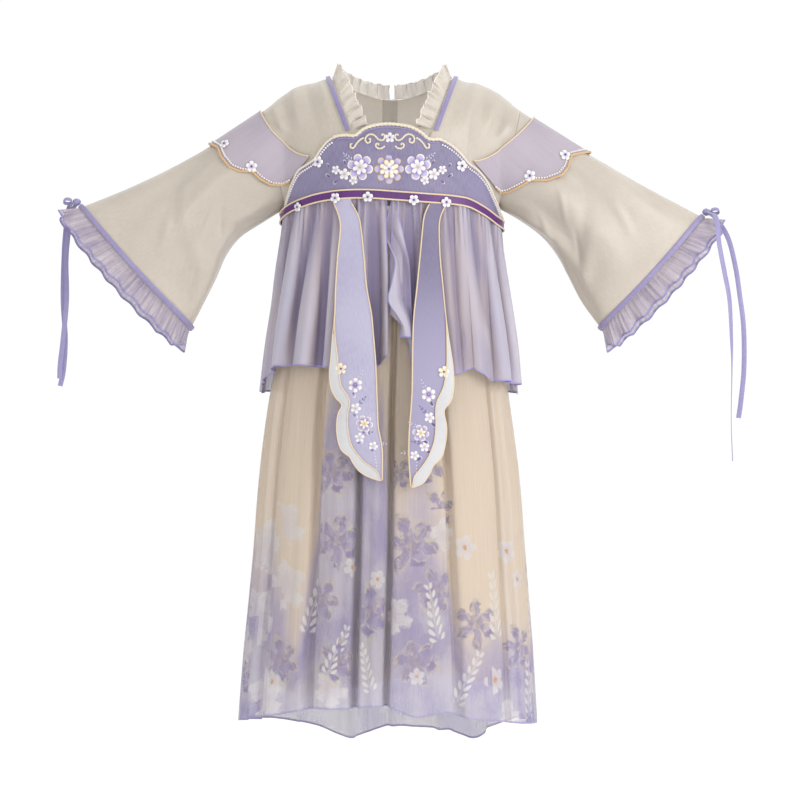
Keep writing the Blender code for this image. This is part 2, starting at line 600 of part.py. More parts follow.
def make_cap(side, name, cap, rows):
    """A shoulder cap that lies over the armhole seam, front and back, with a scalloped edge."""
    steps = (0, 0.08, 0.3, 0.65, 1, 2, 3, 4, 5, 6, 7, 8, 9)
    columns = [(-1, step) for step in reversed(steps[1:])] + [(1, step) for step in steps]

    def point(part, column):
        face, step = column
        x = straight_row(cap, "seam_x", step) * (1 - part) + straight_row(cap, "edge_x", step) * part
        z = straight_row(cap, "seam_z", step) * (1 - part) + straight_row(cap, "edge_z", step) * part
        return side * x, -face * arm_depth(rows, x, z), z
    points = grid((0, 0.25, 0.5, 0.75, 1), columns, point)
    out = normals(points)
    middle = np.array((side * 0.18, 0, -0.13))
    if np.mean(np.sum(out * (points - middle), axis=2)) < 0:
        out = -out
    lift = CAP_LIE + WALL
    cloth("shoulder_cap_" + name, points + out * lift, points + out * (lift - WALL), "cap")


def straight_row(rows, column, at):
    return np.interp(at, np.arange(len(rows[column])), rows[column])


def belt_z(degrees):
    return float(smooth(BELT_LINE, "z", degrees, "degrees"))


def body_point(degrees, z, face):
    """A point of the blouse body's outside at an angle, in front (-1) or behind (+1)."""
    x = CHEST_HALF_WIDTH * math.sin(math.radians(degrees))
    return x, face * blouse_depth(x, z), z


def make_chest():
    """The lobed panel across the chest and the plain band that carries it round the back."""
    degrees = CHEST_TOP["degrees"]

    def front(part, j):
        top = CHEST_TOP["z"][j]
        low = belt_z(degrees[j])
        return body_point(degrees[j], top + (low - top) * part, -1)
    points = grid((0, 0.25, 0.5, 0.75, 1), range(len(degrees)), front)
    panel("chest_panel", points, (0, -1, 0), "chest", lift=LIE + WALL)

    def behind(part, turn):
        rise = BAND_BACK_RISE * min(1, max(0, (71 - abs(turn)) / 33)) + BAND_SIDE_HEIGHT
        low = belt_z(math.copysign(180, turn) - turn)
        x, y, z = body_point(turn, low + rise * (1 - part), 1)
        return x, y, z
    turns = np.concatenate(((-89.8, -84, -77, -70), np.linspace(-63, 63, 13), (70, 77, 84, 89.8)))
    panel("chest_back", grid((0, 0.33, 0.67, 1), turns, behind), (0, 1, 0), "chest",
          lift=LIE + WALL)


def waist_ring(degrees, grow):
    return ellipse_point(degrees, CHEST_HALF_WIDTH, CHEST_HALF_DEPTH, 0, grow)


def make_belt():
    """The belt over the waist seam, with both edges raised as piping."""
    start = BELT_START
    half = BELT_HEIGHT / 2
    section = ((half, PIPING), (half - PIPING_WIDTH, PIPING), (half - PIPING_WIDTH, 0),
               (-half + PIPING_WIDTH, 0), (-half + PIPING_WIDTH, PIPING), (-half, PIPING))
    columns = np.linspace(-180, 180, 40, endpoint=False)
    outer, inner = [], []
    for rise, raised in section:
        outer.append([(*waist_ring(d, start + BELT_THICK + raised), belt_z(d) + rise)
                      for d in columns])
        inner.append([(*waist_ring(d, start), belt_z(d) + rise) for d in columns])
    inner = np.array(inner)
    spread = np.linspace(0, 1, len(section))[:, None, None]
    cloth("waist_belt", np.array(outer), inner[0] * (1 - spread) + inner[-1] * spread, "belt",
          ring=True)


def flower(name, centre, out, radius):
    """Five rounded petals as one low dome."""
    out = np.array(out, float) / np.linalg.norm(out)
    up = np.array((0, 0, 1.0))
    side = np.cross(up, out)
    side /= np.linalg.norm(side)
    up = np.cross(out, side)
    bm = bmesh.new()
    lower, upper = [], []
    count = 15
    for k in range(count):
        turn = 2 * math.pi * k / count
        reach = radius * (0.62, 0.97, 0.97)[k % 3]
        way = side * math.sin(turn) + up * math.cos(turn)
        lower.append(bm.verts.new(centre + way * reach))
        upper.append(bm.verts.new(centre + way * reach * 0.72 + out * FLOWER_EDGE))
    bottom = bm.verts.new(centre)
    crown = bm.verts.new(centre + out * FLOWER_CROWN)
    for k in range(count):
        n = (k + 1) % count
        bm.faces.new((lower[k], lower[n], upper[n], upper[k]))
        bm.faces.new((upper[k], upper[n], crown))
        bm.faces.new((lower[n], lower[k], bottom))
    return add(name, bm, "pearl")


def outside(x, z, rows):
    """A point of the front's outside and its outward direction."""
    step = 0.002
    y = -arm_depth(rows, x, z)
    slope_x = (-arm_depth(rows, x + step, z) + arm_depth(rows, x - step, z)) / (2 * step)
    slope_z = (-arm_depth(rows, x, z + step) + arm_depth(rows, x, z - step)) / (2 * step)
    out = np.array((slope_x, -1.0, slope_z))
    return np.array((x, y, z)), out / np.linalg.norm(out)


def make_flowers():
    """Pearl flowers on the belt, the chest panel and the shoulder caps."""
    start = BELT_START + BELT_THICK + PIPING
    for k, (degrees, radius, seat) in enumerate(zip(*BELT_FLOWERS.values())):
        x, y = waist_ring(degrees, start + seat)
        far = waist_ring(degrees, start + 1)
        centre = np.array((x, y, belt_z(degrees)))
        flower("belt_flower_%d" % (k + 1), centre, (far[0] - x, far[1] - y, 0), radius)
    groups = (("chest_flower_%d", PANEL_FLOWERS, LIE), ("cap_flower_%d", CAP_FLOWERS, CAP_LIE))
    for pattern, rows, lie in groups:
        for k, (x, z, radius, seat) in enumerate(zip(*rows.values())):
            sleeve = SLEEVE_LEFT if x < 0 else SLEEVE_RIGHT
            place, out = outside(x, z, sleeve)
            centre = place + out * (lie + WALL + seat)
            flower(pattern % (k + 1), centre, out, radius)


def ring_size(rows, z, *columns):
    return [float(smooth(rows, column, z, "z")) for column in columns]


def fold_growth(z):
    part = min(max((FOLD_START_Z - z) / (FOLD_START_Z - FOLD_FULL_Z), 0), 1)
    return part * part * (3 - 2 * part)


def skirt_columns():
    """Places round the skirt as (waist angle, hem angle, inward depth, swell)."""
    shape = ((-1, 0), (-0.5, 0.62), (0, 1), (0.5, 0.62), (1, 0))
    hem_width = SKIRT["half_width"][0]
    hem_depth = SKIRT["half_depth"][0]
    folds = list(zip(*(SKIRT_FOLDS[c] for c in ("waist", "hem", "half_width", "depth"))))
    spans = []
    for waist, hem, half_width, depth in folds:
        turn = math.radians(hem)
        speed = math.hypot(hem_width * math.cos(turn), hem_depth * math.sin(turn))
        spans.append(math.degrees(half_width / speed))
    columns = []
    for k, (waist, hem, half_width, depth) in enumerate(folds):
        for place, part in shape:
            columns.append((waist + place * spans[k], hem + place * spans[k], depth * part, 0))
        after = (k + 1) % len(folds)
        lap = 360 if after == 0 else 0
        ends = [(waist + spans[k], folds[after][0] + lap - spans[after]),
                (hem + spans[k], folds[after][1] + lap - spans[after])]
        for part, swell in ((0.3, 0.85), (0.7, 1.0)):
            columns.append((ends[0][0] * (1 - part) + ends[0][1] * part,
                            ends[1][0] * (1 - part) + ends[1][1] * part, 0, swell))
    return columns


def hem_z(degrees):
    return float(smooth(SKIRT_HEM, "z", (degrees + 180) % 360 - 180, "degrees"))


def make_skirt():
    """The outer skirt, gathered in deep uneven folds that open towards the hem."""
    columns = skirt_columns()
    outer = []
    for part in (0, 0.13, 0.30, 0.47, 0.64, 0.82, 1):
        row = []
        for waist, hem, depth, swell in columns:
            degrees = waist + (hem - waist) * part
            z = SKIRT_TOP_Z + (hem_z(degrees) - SKIRT_TOP_Z) * part
            width, half_depth, centre = ring_size(SKIRT, z, "half_width", "half_depth", "centre_x")
            move = fold_growth(z) * (PANEL_SWELL * swell - depth)
            row.append((*ellipse_point(degrees, width, half_depth, centre, move), z))
        outer.append(row)
    outer = np.array(outer)
    cloth("skirt", outer, inward(outer), "skirt", ring=True)


def inward(rows, thick=WALL, ring=True):
    """The same level rings, moved in by the wall's thickness along their own normals."""
    if ring:
        run = np.roll(rows, -1, axis=1) - np.roll(rows, 1, axis=1)
    else:
        run = np.gradient(rows, axis=1)
    out = np.stack((run[..., 1], -run[..., 0], np.zeros(run.shape[:2])), axis=2)
    out /= np.linalg.norm(out, axis=2, keepdims=True)
    away = rows * np.array((1, 1, 0))
    if np.mean(np.sum(out * away, axis=2)) < 0:
        out = -out
    return rows - out * thick


def make_lining():
    """A plain lining inside the skirt, a little shorter."""
    columns = np.linspace(-180, 180, 36, endpoint=False)
    outer = []
    for part in (0, 0.15, 0.36, 0.62, 1):
        row = []
        for degrees in columns:
            low = LINING_HEM_Z + LINING_SWAY * math.sin(math.radians(3 * degrees) + 0.6)
            z = SKIRT_TOP_Z + (low - SKIRT_TOP_Z) * part
            sizes = ring_size(SKIRT, z, "half_width", "half_depth", "centre_x", "lining_inset")
            row.append((*ellipse_point(degrees, *sizes[:3], -sizes[3]), z))
        outer.append(row)
    outer = np.array(outer)
    cloth("lining", outer, inward(outer), "lining", ring=True)


def peplum_size(drop):
    """Ring sizes and wave height of the peplum at a drop below the belt line."""
    return [float(smooth(PEPLUM, column, drop, "drop"))
            for column in ("half_width", "half_depth", "centre_x", "wave")]


def peplum_wave(phase):
    return math.sin(phase) + 0.25 * math.sin(2 * phase + 1)


def make_peplum():
    """Two gathered front halves that part below the belt, and a gathered back."""
    seam = math.degrees(0.35 * SEAM / CHEST_HALF_DEPTH) + 0.15
    levels = (0, 0.03, 0.3, 0.65, 1)

    for side, name, edge in ((-1, "left", PEPLUM_EDGE_LEFT), (1, "right", PEPLUM_EDGE_RIGHT)):
        count = 26
        outer = []
        for level in levels:
            row = []
            for j in range(count + 1):
                part = j / count
                z = top = belt_z(side * 90) - PEPLUM_TOP_DROP
                for _ in range(6):
                    width, depth, centre, wave = peplum_size(top - z)
                    inner_x = float(straight(edge, "x", z, "z"))
                    inner = math.degrees(math.asin((inner_x - centre) / width))
                    outermost = side * (90 - seam)
                    degrees = outermost + (inner - outermost) * part
                    x = centre + width * math.sin(math.radians(degrees))
                    top = belt_z(degrees) - PEPLUM_TOP_DROP
                    low = float(straight(PEPLUM_HEM, "z", x, "x"))
                    z = top + (low - top) * level
                phase = 2 * math.pi * FRONT_WAVES * part + 0.7 * math.sin(5 * part) + side
                move = wave * peplum_wave(phase) / 1.2 * min(1, part * 8)
                row.append((*ellipse_point(degrees, width, depth, centre, move), z))
            outer.append(row)
        outer = np.array(outer)
        cloth("peplum_front_" + name, outer, inward(outer, ring=False), "peplum")

    count = 42
    outer = []
    for level in levels:
        row = []
        for j in range(count + 1):
            part = j / count
            degrees = 90 + seam + (180 - 2 * seam) * part
            top = belt_z((degrees + 180) % 360 - 180) - PEPLUM_TOP_DROP
            z = top + (PEPLUM_BACK_HEM_Z + 0.004 * math.sin(9 * part) - top) * level
            width, depth, centre, wave = peplum_size(top - z)
            phase = 2 * math.pi * BACK_WAVES * part + 0.8 * math.sin(7 * part)
            move = wave * peplum_wave(phase) / 1.2 * min(1, part * 10, (1 - part) * 10)
            row.append((*ellipse_point(degrees, width, depth, centre, move), z))
        outer.append(row)
    outer = np.array(outer)
    cloth("peplum_back", outer, inward(outer, ring=False), "peplum")


def streamer_y(x, z):
    width, depth = ring_size(STREAMER_LIE, z, "half_width", "half_depth")
    return -depth * math.sqrt(1 - (x / width) ** 2)


def make_streamer(name, rows):
    """A hanging streamer with a scalloped end and the raised border along its outer edge."""
    top = -BELT_HEIGHT / 2 - SEAM

    def face(i, part):
        x = rows["outer"][i] + (rows["inner"][i] - rows["outer"][i]) * part
        z = rows["z"][i]
        if i == 0:
            z = belt_z(math.degrees(math.asin(x / CHEST_HALF_WIDTH))) + top
        return x, streamer_y(x, z), z
    count = len(rows["z"])
    panel("streamer_" + name, grid(range(count), (0, 0.33, 0.67, 1), face), (0, -1, 0), "streamer")

    start = int(np.argmax(rows["border"] != rows["outer"]))

    def edging(i, part):
        x = rows["outer"][i] + (rows["border"][i] - rows["outer"][i]) * part
        return x, streamer_y(x, rows["z"][i]), rows["z"][i]
    points = grid(range(start, count), (0.04, 0.5, 1), edging)
    panel("streamer_border_" + name, points, (0, -1, 0), "border",
          lift=LIE * 0.8 + BORDER_RAISE, thick=BORDER_RAISE)


def make_ribbon(name, rows):
    """A flat ribbon along a route, with its face turned about its run."""
    count = 16
    outer, inner = [], []
    for j in range(count + 1):
        at = j / count * (len(rows["x"]) - 1)
        centre, after = (np.array([float(along(rows, c, place)) for c in ("x", "y", "z")])
                         for place in (at, at + 0.05))
        if j == count:
            before = np.array([float(along(rows, c, at - 0.05)) for c in ("x", "y", "z")])
            after = 2 * centre - before
        run = (after - centre) / np.linalg.norm(after - centre)
        turn = math.radians(float(along(rows, "turn", at)))
        across = np.array((math.cos(turn), math.sin(turn), 0))
        across -= run * np.dot(across, run)
        across *= TAIL_WIDTH / 2 / np.linalg.norm(across)
        face = np.cross(run, across) / np.linalg.norm(across) * WALL * 0.45
        outer.append((centre - across - face, centre + across - face))
        inner.append((centre - across + face, centre + across + face))
    cloth(name, np.array(outer), np.array(inner), "ribbon")


def make_knot(side, name, rows):
    """The tie's knot on top of the cuff and its one small loop."""
    size = np.array(KNOT)
    ring, _, rise, _, _ = sleeve_section(rows, len(rows["top_x"]) - 1, (0,), CUFF_BAND_OUT,
                                         -CUFF_BAND_WIDTH / 2)
    centre = ring[0] + np.array((rise[0], 0, rise[1])) * (size[0] + SEAM)
    centre = mirrored(centre, side)
    bm = bmesh.new()
    bmesh.ops.create_uvsphere(bm, u_segments=8, v_segments=6, radius=1)
    for vert in bm.verts:
        vert.co = [c + s * v for c, s, v in zip(centre, size, vert.co)]
    add("tie_knot_" + name, bm, "ribbon")

    outer, inner = [], []
    start = centre + np.array((side * (size[0] + LOOP_START), 0, 0.0010))
    for width in (-TAIL_WIDTH / 2, TAIL_WIDTH / 2):
        out_row, in_row = [], []
        for k in range(14):
            turn = 2 * math.pi * k / 14
            for row, thin in ((out_row, 0), (in_row, WALL * 0.8)):
                row.append(start + np.array((math.cos(turn) * (LOOP[0] - thin), width,
                                             math.sin(turn) * (LOOP[1] - thin))))
        outer.append(out_row)
        inner.append(in_row)
    cloth("tie_loop_" + name, np.array(outer), np.array(inner), "ribbon", ring=True)


make_blouse()
make_neck_bands()
make_collar()
for side, name, rows, cap in ((-1, "left", SLEEVE_LEFT, CAP_LEFT),
                              (1, "right", SLEEVE_RIGHT, CAP_RIGHT)):
    make_sleeve(side, name, rows)
    make_cuff(side, name, rows)
    make_cap(side, name, cap, rows)
    make_knot(side, name, rows)
for name, rows in TAILS.items():
    make_ribbon(name, rows)
make_chest()
make_belt()
make_flowers()
make_peplum()
make_streamer("left", STREAMER_LEFT)
make_streamer("right", STREAMER_RIGHT)
make_skirt()
make_lining()
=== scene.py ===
# %% [markdown]
# # A child's hanfu dress
# The dress hangs filled out and empty, as if its wearer had just stepped out of it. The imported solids
# have its true form already. This script makes each cloth piece again on the same curves, thinner and
# finer, and adds what a maker's hand leaves on it: creases, gathers, piping, beads, stitching and print.

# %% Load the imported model
import math

import bpy
import numpy as np
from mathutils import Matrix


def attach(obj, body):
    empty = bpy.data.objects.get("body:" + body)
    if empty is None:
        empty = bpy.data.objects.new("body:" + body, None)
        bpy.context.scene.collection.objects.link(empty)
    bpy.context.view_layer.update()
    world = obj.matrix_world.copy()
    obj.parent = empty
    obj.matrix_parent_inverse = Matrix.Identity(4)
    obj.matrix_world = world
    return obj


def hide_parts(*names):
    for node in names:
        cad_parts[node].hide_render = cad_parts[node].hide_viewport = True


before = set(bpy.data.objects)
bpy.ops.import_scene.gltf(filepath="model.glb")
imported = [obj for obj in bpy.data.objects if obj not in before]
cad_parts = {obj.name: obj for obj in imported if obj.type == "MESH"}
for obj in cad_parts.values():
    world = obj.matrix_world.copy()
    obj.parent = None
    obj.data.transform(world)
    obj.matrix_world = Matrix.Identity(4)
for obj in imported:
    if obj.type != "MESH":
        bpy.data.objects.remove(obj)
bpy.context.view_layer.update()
bpy.ops.object.select_all(action="DESELECT")

# %% [markdown]
# ## Camera
# The photograph was taken from straight in front, at half the dress's height, with a long lens. A long
# lens keeps the sleeves and the hem from bending outwards, so the camera stands 3.4 m away.

# %% Camera
CAMERA_PLACE = (0.0108, -3.4, -0.42525)
VIEW_WIDTH = 1.08        # metres seen across at the dress
camera_data = bpy.data.cameras.new("camera")
camera_data.lens = camera_data.sensor_width * -CAMERA_PLACE[1] / VIEW_WIDTH
camera = bpy.data.objects.new("camera", camera_data)
camera.location = CAMERA_PLACE
camera.rotation_euler = (math.pi / 2, 0, 0)
bpy.context.collection.objects.link(camera)
bpy.context.scene.camera = camera
print("lens", round(camera_data.lens, 1), "mm")

# %% [markdown]
# ## The pattern cutter's sizes
# These are the sizes and tables that the solids were made from, in metres. Angles run round the body
# from 0 at the front to +90 on the right of the front view and 180 at the back.

# %% Sizes
def table(columns, *rows):
    """A table with named columns, as a dictionary of arrays."""
    return dict(zip(columns.split(), np.array(rows, float).T))


# Cloth
WALL = 0.0012            # thickness of every cloth wall
SEAM = 0.0004            # gap kept between pieces that are sewn together
LIE = 0.0013             # gap under a piece that lies on a curved panel, at its facets' corners
CAP_LIE = 0.0018         # the same under a shoulder cap

# Blouse body
CHEST_HALF_WIDTH = 0.1465
CHEST_HALF_DEPTH = 0.0957
SHOULDER_ROUND = 0.11    # height over which the shoulder rounds down to full depth
UNDERARM_X = 0.1431
UNDERARM_Z = -0.1661
ARMHOLE_TOP_X = 0.1728
ARMHOLE_TOP_Z = -0.0351
ARMHOLE_HALF_DEPTH = 0.045
NECK_X = 0.083           # neckline at the shoulder line
NECK_FRONT_X = 0.020     # where the front edges end at the underarm level
NECK_BACK_DROP = 0.024   # how far the back neckline dips at its middle
NECK_BAND_WIDTH = 0.0066
NECK_BAND_END_Z = -0.071
COLLAR_HEIGHT = 0.021
COLLAR_WAVES = 12        # on each half
COLLAR_START_Z = -0.084  # low end of the ruffle, behind the chest panel's top
COLLAR_TUCK = 0.0065     # how far back the ruffle's low end goes behind the chest panel
COLLAR_INSET = 0.0022    # the ruffle's foot, inside the neckline edge
COLLAR_BACK_RISE = 0.0016
COLLAR_BACK_GAP = 0.003  # half of the gap between the two ruffles at the back

# Belt
BELT_HEIGHT = 0.011
BELT_START = 0.0033      # the belt's inside, from the blouse
BELT_THICK = 0.0014
PIPING = 0.0012          # how far the belt's edges stand out as piping
BAND_BACK_RISE = 0.075   # height of the plain band across the back, over its height at the sides
BAND_SIDE_HEIGHT = 0.006

# Sleeves and cuffs
SLEEVE_BOW = 0.0065      # how far the front and back of the cuff line stand out of its plane
SLEEVE_TILT = 0.006      # how far its back lies beyond its front
CUFF_BAND_WIDTH = 0.0068
CUFF_BAND_OUT = 0.0021   # the piped band's outside, from the sleeve
CUFF_RUFFLE_DEPTH = 0.0275
CUFF_WAVES = 18
CUFF_WAVE = 0.0046       # wave height at the ruffle's free edge
CUFF_FLARE = 0.62
CUFF_FLARE_SIDE = 0.3
KNOT = (0.0058, 0.0050, 0.0050)    # half sizes of a tie's knot
LOOP = (0.0058, 0.0042)            # half length and half height of its small loop
LOOP_START = 0.0062

# Skirt, lining and peplum
LINING_HEM_Z = -0.800
LINING_SWAY = 0.014      # how far the lining's hem rises and falls
PEPLUM_TOP_DROP = 0.0007
FRONT_WAVES = 6.5        # gathers of each front half of the peplum
BACK_WAVES = 11
SKIRT_TOP_Z = -0.1708
FOLD_START_Z = -0.18
FOLD_FULL_Z = -0.53
PANEL_SWELL = 0.003      # how far the cloth between two skirt folds swells out

SHOULDER = table(
    "x z",
    (0.000, 0.0105), (0.083, 0.0095), (0.100, 0.0035), (0.123, -0.0010),
    (0.148, -0.0150), (0.1728, -0.0351), (0.200, -0.0530))

SLEEVE_LEFT = table(
    "top_x top_z under_x under_z half_depth",
    (0.1728, -0.0351, 0.1431, -0.1661, 0.045),
    (0.2080, -0.0590, 0.1750, -0.1860, 0.046),
    (0.2444, -0.0824, 0.2050, -0.2060, 0.046),
    (0.2850, -0.1055, 0.2240, -0.2310, 0.045),
    (0.3250, -0.1255, 0.2370, -0.2605, 0.043),
    (0.3720, -0.1465, 0.2530, -0.2930, 0.040),
    (0.4225, -0.1665, 0.2727, -0.3308, 0.036))

SLEEVE_RIGHT = table(
    "top_x top_z under_x under_z half_depth",
    (0.1728, -0.0351, 0.1431, -0.1661, 0.045),
    (0.2100, -0.0600, 0.1760, -0.1850, 0.046),
    (0.2480, -0.0840, 0.2040, -0.2065, 0.046),
    (0.2900, -0.1080, 0.2240, -0.2320, 0.045),
    (0.3300, -0.1312, 0.2390, -0.2605, 0.043),
    (0.3760, -0.1560, 0.2570, -0.2945, 0.040),
    (0.4215, -0.1800, 0.2835, -0.3308, 0.036))

# Each row joins a place on the cap's top seam to one on its scalloped edge.
CAP_LEFT = table(
    "seam_x seam_z edge_x edge_z",
    (0.1760, -0.0372, 0.2444, -0.0824),
    (0.1720, -0.0470, 0.2320, -0.0891),
    (0.1650, -0.0590, 0.2267, -0.1024),
    (0.1590, -0.0680, 0.2160, -0.1157),
    (0.1510, -0.0760, 0.2027, -0.1211),
    (0.1430, -0.0830, 0.1866, -0.1205),
    (0.1350, -0.0900, 0.1750, -0.1310),
    (0.1260, -0.0965, 0.1620, -0.1375),
    (0.1160, -0.1010, 0.1480, -0.1375),
    (0.1075, -0.1030, 0.1350, -0.1340))

CAP_RIGHT = table(
    "seam_x seam_z edge_x edge_z",
    (0.1900, -0.0464, 0.2657, -0.0938),
    (0.1830, -0.0560, 0.2392, -0.0996),
    (0.1740, -0.0660, 0.2336, -0.1171),
    (0.1650, -0.0745, 0.2256, -0.1265),
    (0.1543, -0.0833, 0.2070, -0.1328),
    (0.1430, -0.0925, 0.1850, -0.1320),
    (0.1330, -0.0990, 0.1735, -0.1385),
    (0.1230, -0.1045, 0.1560, -0.1465),
    (0.1140, -0.1080, 0.1455, -0.1465),
    (0.1065, -0.1090, 0.1375, -0.1425))

# Angles run round the body from 0 at the front to +90 on the right and 180 at the back.
CHEST_TOP = table(
    "degrees z",
    (-89.8, -0.1735), (-82, -0.1725), (-75, -0.1700), (-69.8, -0.1540), (-63, -0.1350), (-56.4, -0.1198),
    (-49.3, -0.1126), (-42.5, -0.1040), (-39.7, -0.0960), (-35.7, -0.0860), (-30.7, -0.0786),
    (-24.3, -0.0765), (-18.2, -0.0765), (-15.0, -0.0702), (-9.2, -0.0649), (-2.5, -0.0630),
    (4.7, -0.0643), (10.5, -0.0676), (15.2, -0.0742), (18.4, -0.0807), (25.7, -0.0824),
    (32.1, -0.0897), (37.9, -0.1001), (42.7, -0.1108), (50.3, -0.1206), (57.5, -0.1333),
    (64.2, -0.1497), (70, -0.1620), (75.5, -0.1726), (82, -0.1790), (89.8, -0.1840))

BELT_LINE = table(
    "degrees z",
    (-180, -0.185), (-135, -0.184), (-90, -0.181), (-57, -0.166), (-39, -0.158), (-26, -0.155),
    (-11, -0.155), (3, -0.1575), (18, -0.160), (33, -0.162), (42, -0.1645), (53, -0.173),
    (68, -0.185), (90, -0.191), (135, -0.188), (180, -0.185))

SKIRT = table(
    "z half_width half_depth centre_x lining_inset",
    (-0.857, 0.1990, 0.1370, -0.0055, 0.030), (-0.760, 0.1925, 0.1330, -0.0050, 0.030),
    (-0.640, 0.1820, 0.1270, -0.0040, 0.029), (-0.530, 0.1735, 0.1200, -0.0040, 0.028),
    (-0.420, 0.1600, 0.1115, -0.0040, 0.023), (-0.380, 0.1540, 0.1070, -0.0030, 0.019),
    (-0.300, 0.1475, 0.1000, -0.0020, 0.012), (-0.220, 0.1455, 0.0958, -0.0010, 0.005),
    (-0.1668, 0.1461, 0.0953, 0.0000, 0.0017))

SKIRT_HEM = table(
    "degrees z",
    (-180, -0.882), (-163, -0.897), (-151, -0.881), (-134, -0.8686), (-90, -0.8575),
    (-64, -0.8463), (-45, -0.8379), (-30, -0.8283), (-18, -0.8277), (0, -0.8245),
    (11, -0.8374), (22, -0.8316), (33, -0.8419), (46, -0.8470), (59, -0.8528), (76, -0.8575),
    (90, -0.8610), (123, -0.8660), (134, -0.8800), (142, -0.8960), (156, -0.8864),
    (169, -0.8842), (180, -0.882))

# The skirt's deep folds, as angles at the waist and at the hem.
SKIRT_FOLDS = table(
    "waist hem half_width depth",
    (-165, -164, 0.012, 0.016), (-140, -139, 0.010, 0.013), (-114, -112, 0.010, 0.012),
    (-88, -86, 0.009, 0.009), (-61, -60, 0.010, 0.011), (-35, -32.6, 0.011, 0.015),
    (-13, -13.3, 0.008, 0.022), (3.1, -0.5, 0.007, 0.023), (25, 28.5, 0.010, 0.013),
    (57.4, 54.2, 0.008, 0.011), (84, 82, 0.009, 0.009), (110, 109, 0.010, 0.012),
    (134, 133, 0.011, 0.015), (157, 158, 0.010, 0.013), (179, 178, 0.009, 0.012))

PEPLUM = table(
    "drop half_width half_depth centre_x wave",
    (0.000, 0.1484, 0.0976, 0.0000, 0.0000), (0.004, 0.1484, 0.0976, 0.0000, 0.0000),
    (0.008, 0.1485, 0.0977, 0.0000, 0.0000), (0.035, 0.1512, 0.1007, -0.0005, 0.0022),
    (0.075, 0.1550, 0.1070, -0.0015, 0.0048), (0.115, 0.1590, 0.1125, -0.0020, 0.0068),
    (0.165, 0.1650, 0.1180, -0.0025, 0.0088), (0.255, 0.1755, 0.1285, -0.0035, 0.0100))

PEPLUM_HEM = table(
    "x z",
    (-0.1845, -0.4145), (-0.1633, -0.3929), (-0.1487, -0.3817), (-0.1242, -0.3802),
    (-0.0831, -0.3835), (-0.0204, -0.3810), (-0.0045, -0.3667), (0.0150, -0.3830),
    (0.0264, -0.3849), (0.0799, -0.3934), (0.1078, -0.3833), (0.1281, -0.4002),
    (0.1545, -0.4013), (0.1769, -0.4104))
PEPLUM_BACK_HEM_Z = -0.418

# The right half's front edge falls away from the left one in a cascade.
PEPLUM_EDGE_LEFT = table("z x", (-0.42, -0.0050), (-0.15, -0.0040))
PEPLUM_EDGE_RIGHT = table(
    "z x", (-0.3900, 0.0266), (-0.3537, 0.0225), (-0.3238, 0.0108), (-0.3160, -0.0028),
    (-0.15, -0.0033))

STREAMER_LIE = table(
    "z half_width half_depth",
    (-0.540, 0.190, 0.1430), (-0.400, 0.188, 0.1430), (-0.360, 0.182, 0.1375),
    (-0.320, 0.175, 0.1290), (-0.280, 0.168, 0.1215), (-0.240, 0.162, 0.1140),
    (-0.200, 0.156, 0.1064), (-0.180, 0.1535, 0.1030), (-0.160, 0.1513, 0.1004),
    (-0.150, 0.1510, 0.1000))

# Edges of each streamer; border is the raised edging's inner line, equal to outer where it is absent.
STREAMER_LEFT = table(
    "z outer inner border",
    (-0.1660, -0.0762, -0.0535, -0.0762), (-0.1828, -0.0698, -0.0443, -0.0698),
    (-0.2000, -0.0672, -0.0403, -0.0672), (-0.2384, -0.0707, -0.0362, -0.0707),
    (-0.2766, -0.0730, -0.0329, -0.0730), (-0.3134, -0.0742, -0.0263, -0.0742),
    (-0.3400, -0.0765, -0.0238, -0.0735), (-0.3695, -0.0787, -0.0212, -0.0700),
    (-0.3877, -0.0803, -0.0203, -0.0682), (-0.4071, -0.0790, -0.0195, -0.0650),
    (-0.4214, -0.0730, -0.0190, -0.0559), (-0.4317, -0.0643, -0.0186, -0.0545),
    (-0.4427, -0.0690, -0.0182, -0.0566), (-0.4602, -0.0711, -0.0174, -0.0566),
    (-0.4797, -0.0690, -0.0136, -0.0532), (-0.4913, -0.0638, -0.0121, -0.0475),
    (-0.4991, -0.0540, -0.0120, -0.0410), (-0.5056, -0.0505, -0.0120, -0.0352),
    (-0.5167, -0.0423, -0.0121, -0.0200), (-0.5240, -0.0310, -0.0122, -0.0160),
    (-0.5289, -0.0175, -0.0123, -0.0145))

STREAMER_RIGHT = table(
    "z outer inner border",
    (-0.1673, 0.0719, 0.0494, 0.0719), (-0.1828, 0.0645, 0.0429, 0.0645),
    (-0.2000, 0.0619, 0.0404, 0.0619), (-0.2384, 0.0631, 0.0368, 0.0631),
    (-0.2766, 0.0666, 0.0330, 0.0666), (-0.3134, 0.0700, 0.0290, 0.0700),
    (-0.3400, 0.0732, 0.0276, 0.0712), (-0.3799, 0.0791, 0.0269, 0.0711),
    (-0.4071, 0.0804, 0.0266, 0.0672), (-0.4265, 0.0764, 0.0257, 0.0587),
    (-0.4395, 0.0678, 0.0248, 0.0567), (-0.4602, 0.0710, 0.0231, 0.0569),
    (-0.4797, 0.0697, 0.0222, 0.0545), (-0.4991, 0.0644, 0.0222, 0.0471),
    (-0.5101, 0.0539, 0.0228, 0.0400), (-0.5194, 0.0499, 0.0235, 0.0328),
    (-0.5246, 0.0464, 0.0238, 0.0290), (-0.5327, 0.0406, 0.0244, 0.0275),
    (-0.5380, 0.0288, 0.0249, 0.0262))

SIDES = ((-1, "left"), (1, "right"))
STREAMERS = ((-1, "left", STREAMER_LEFT), (1, "right", STREAMER_RIGHT))

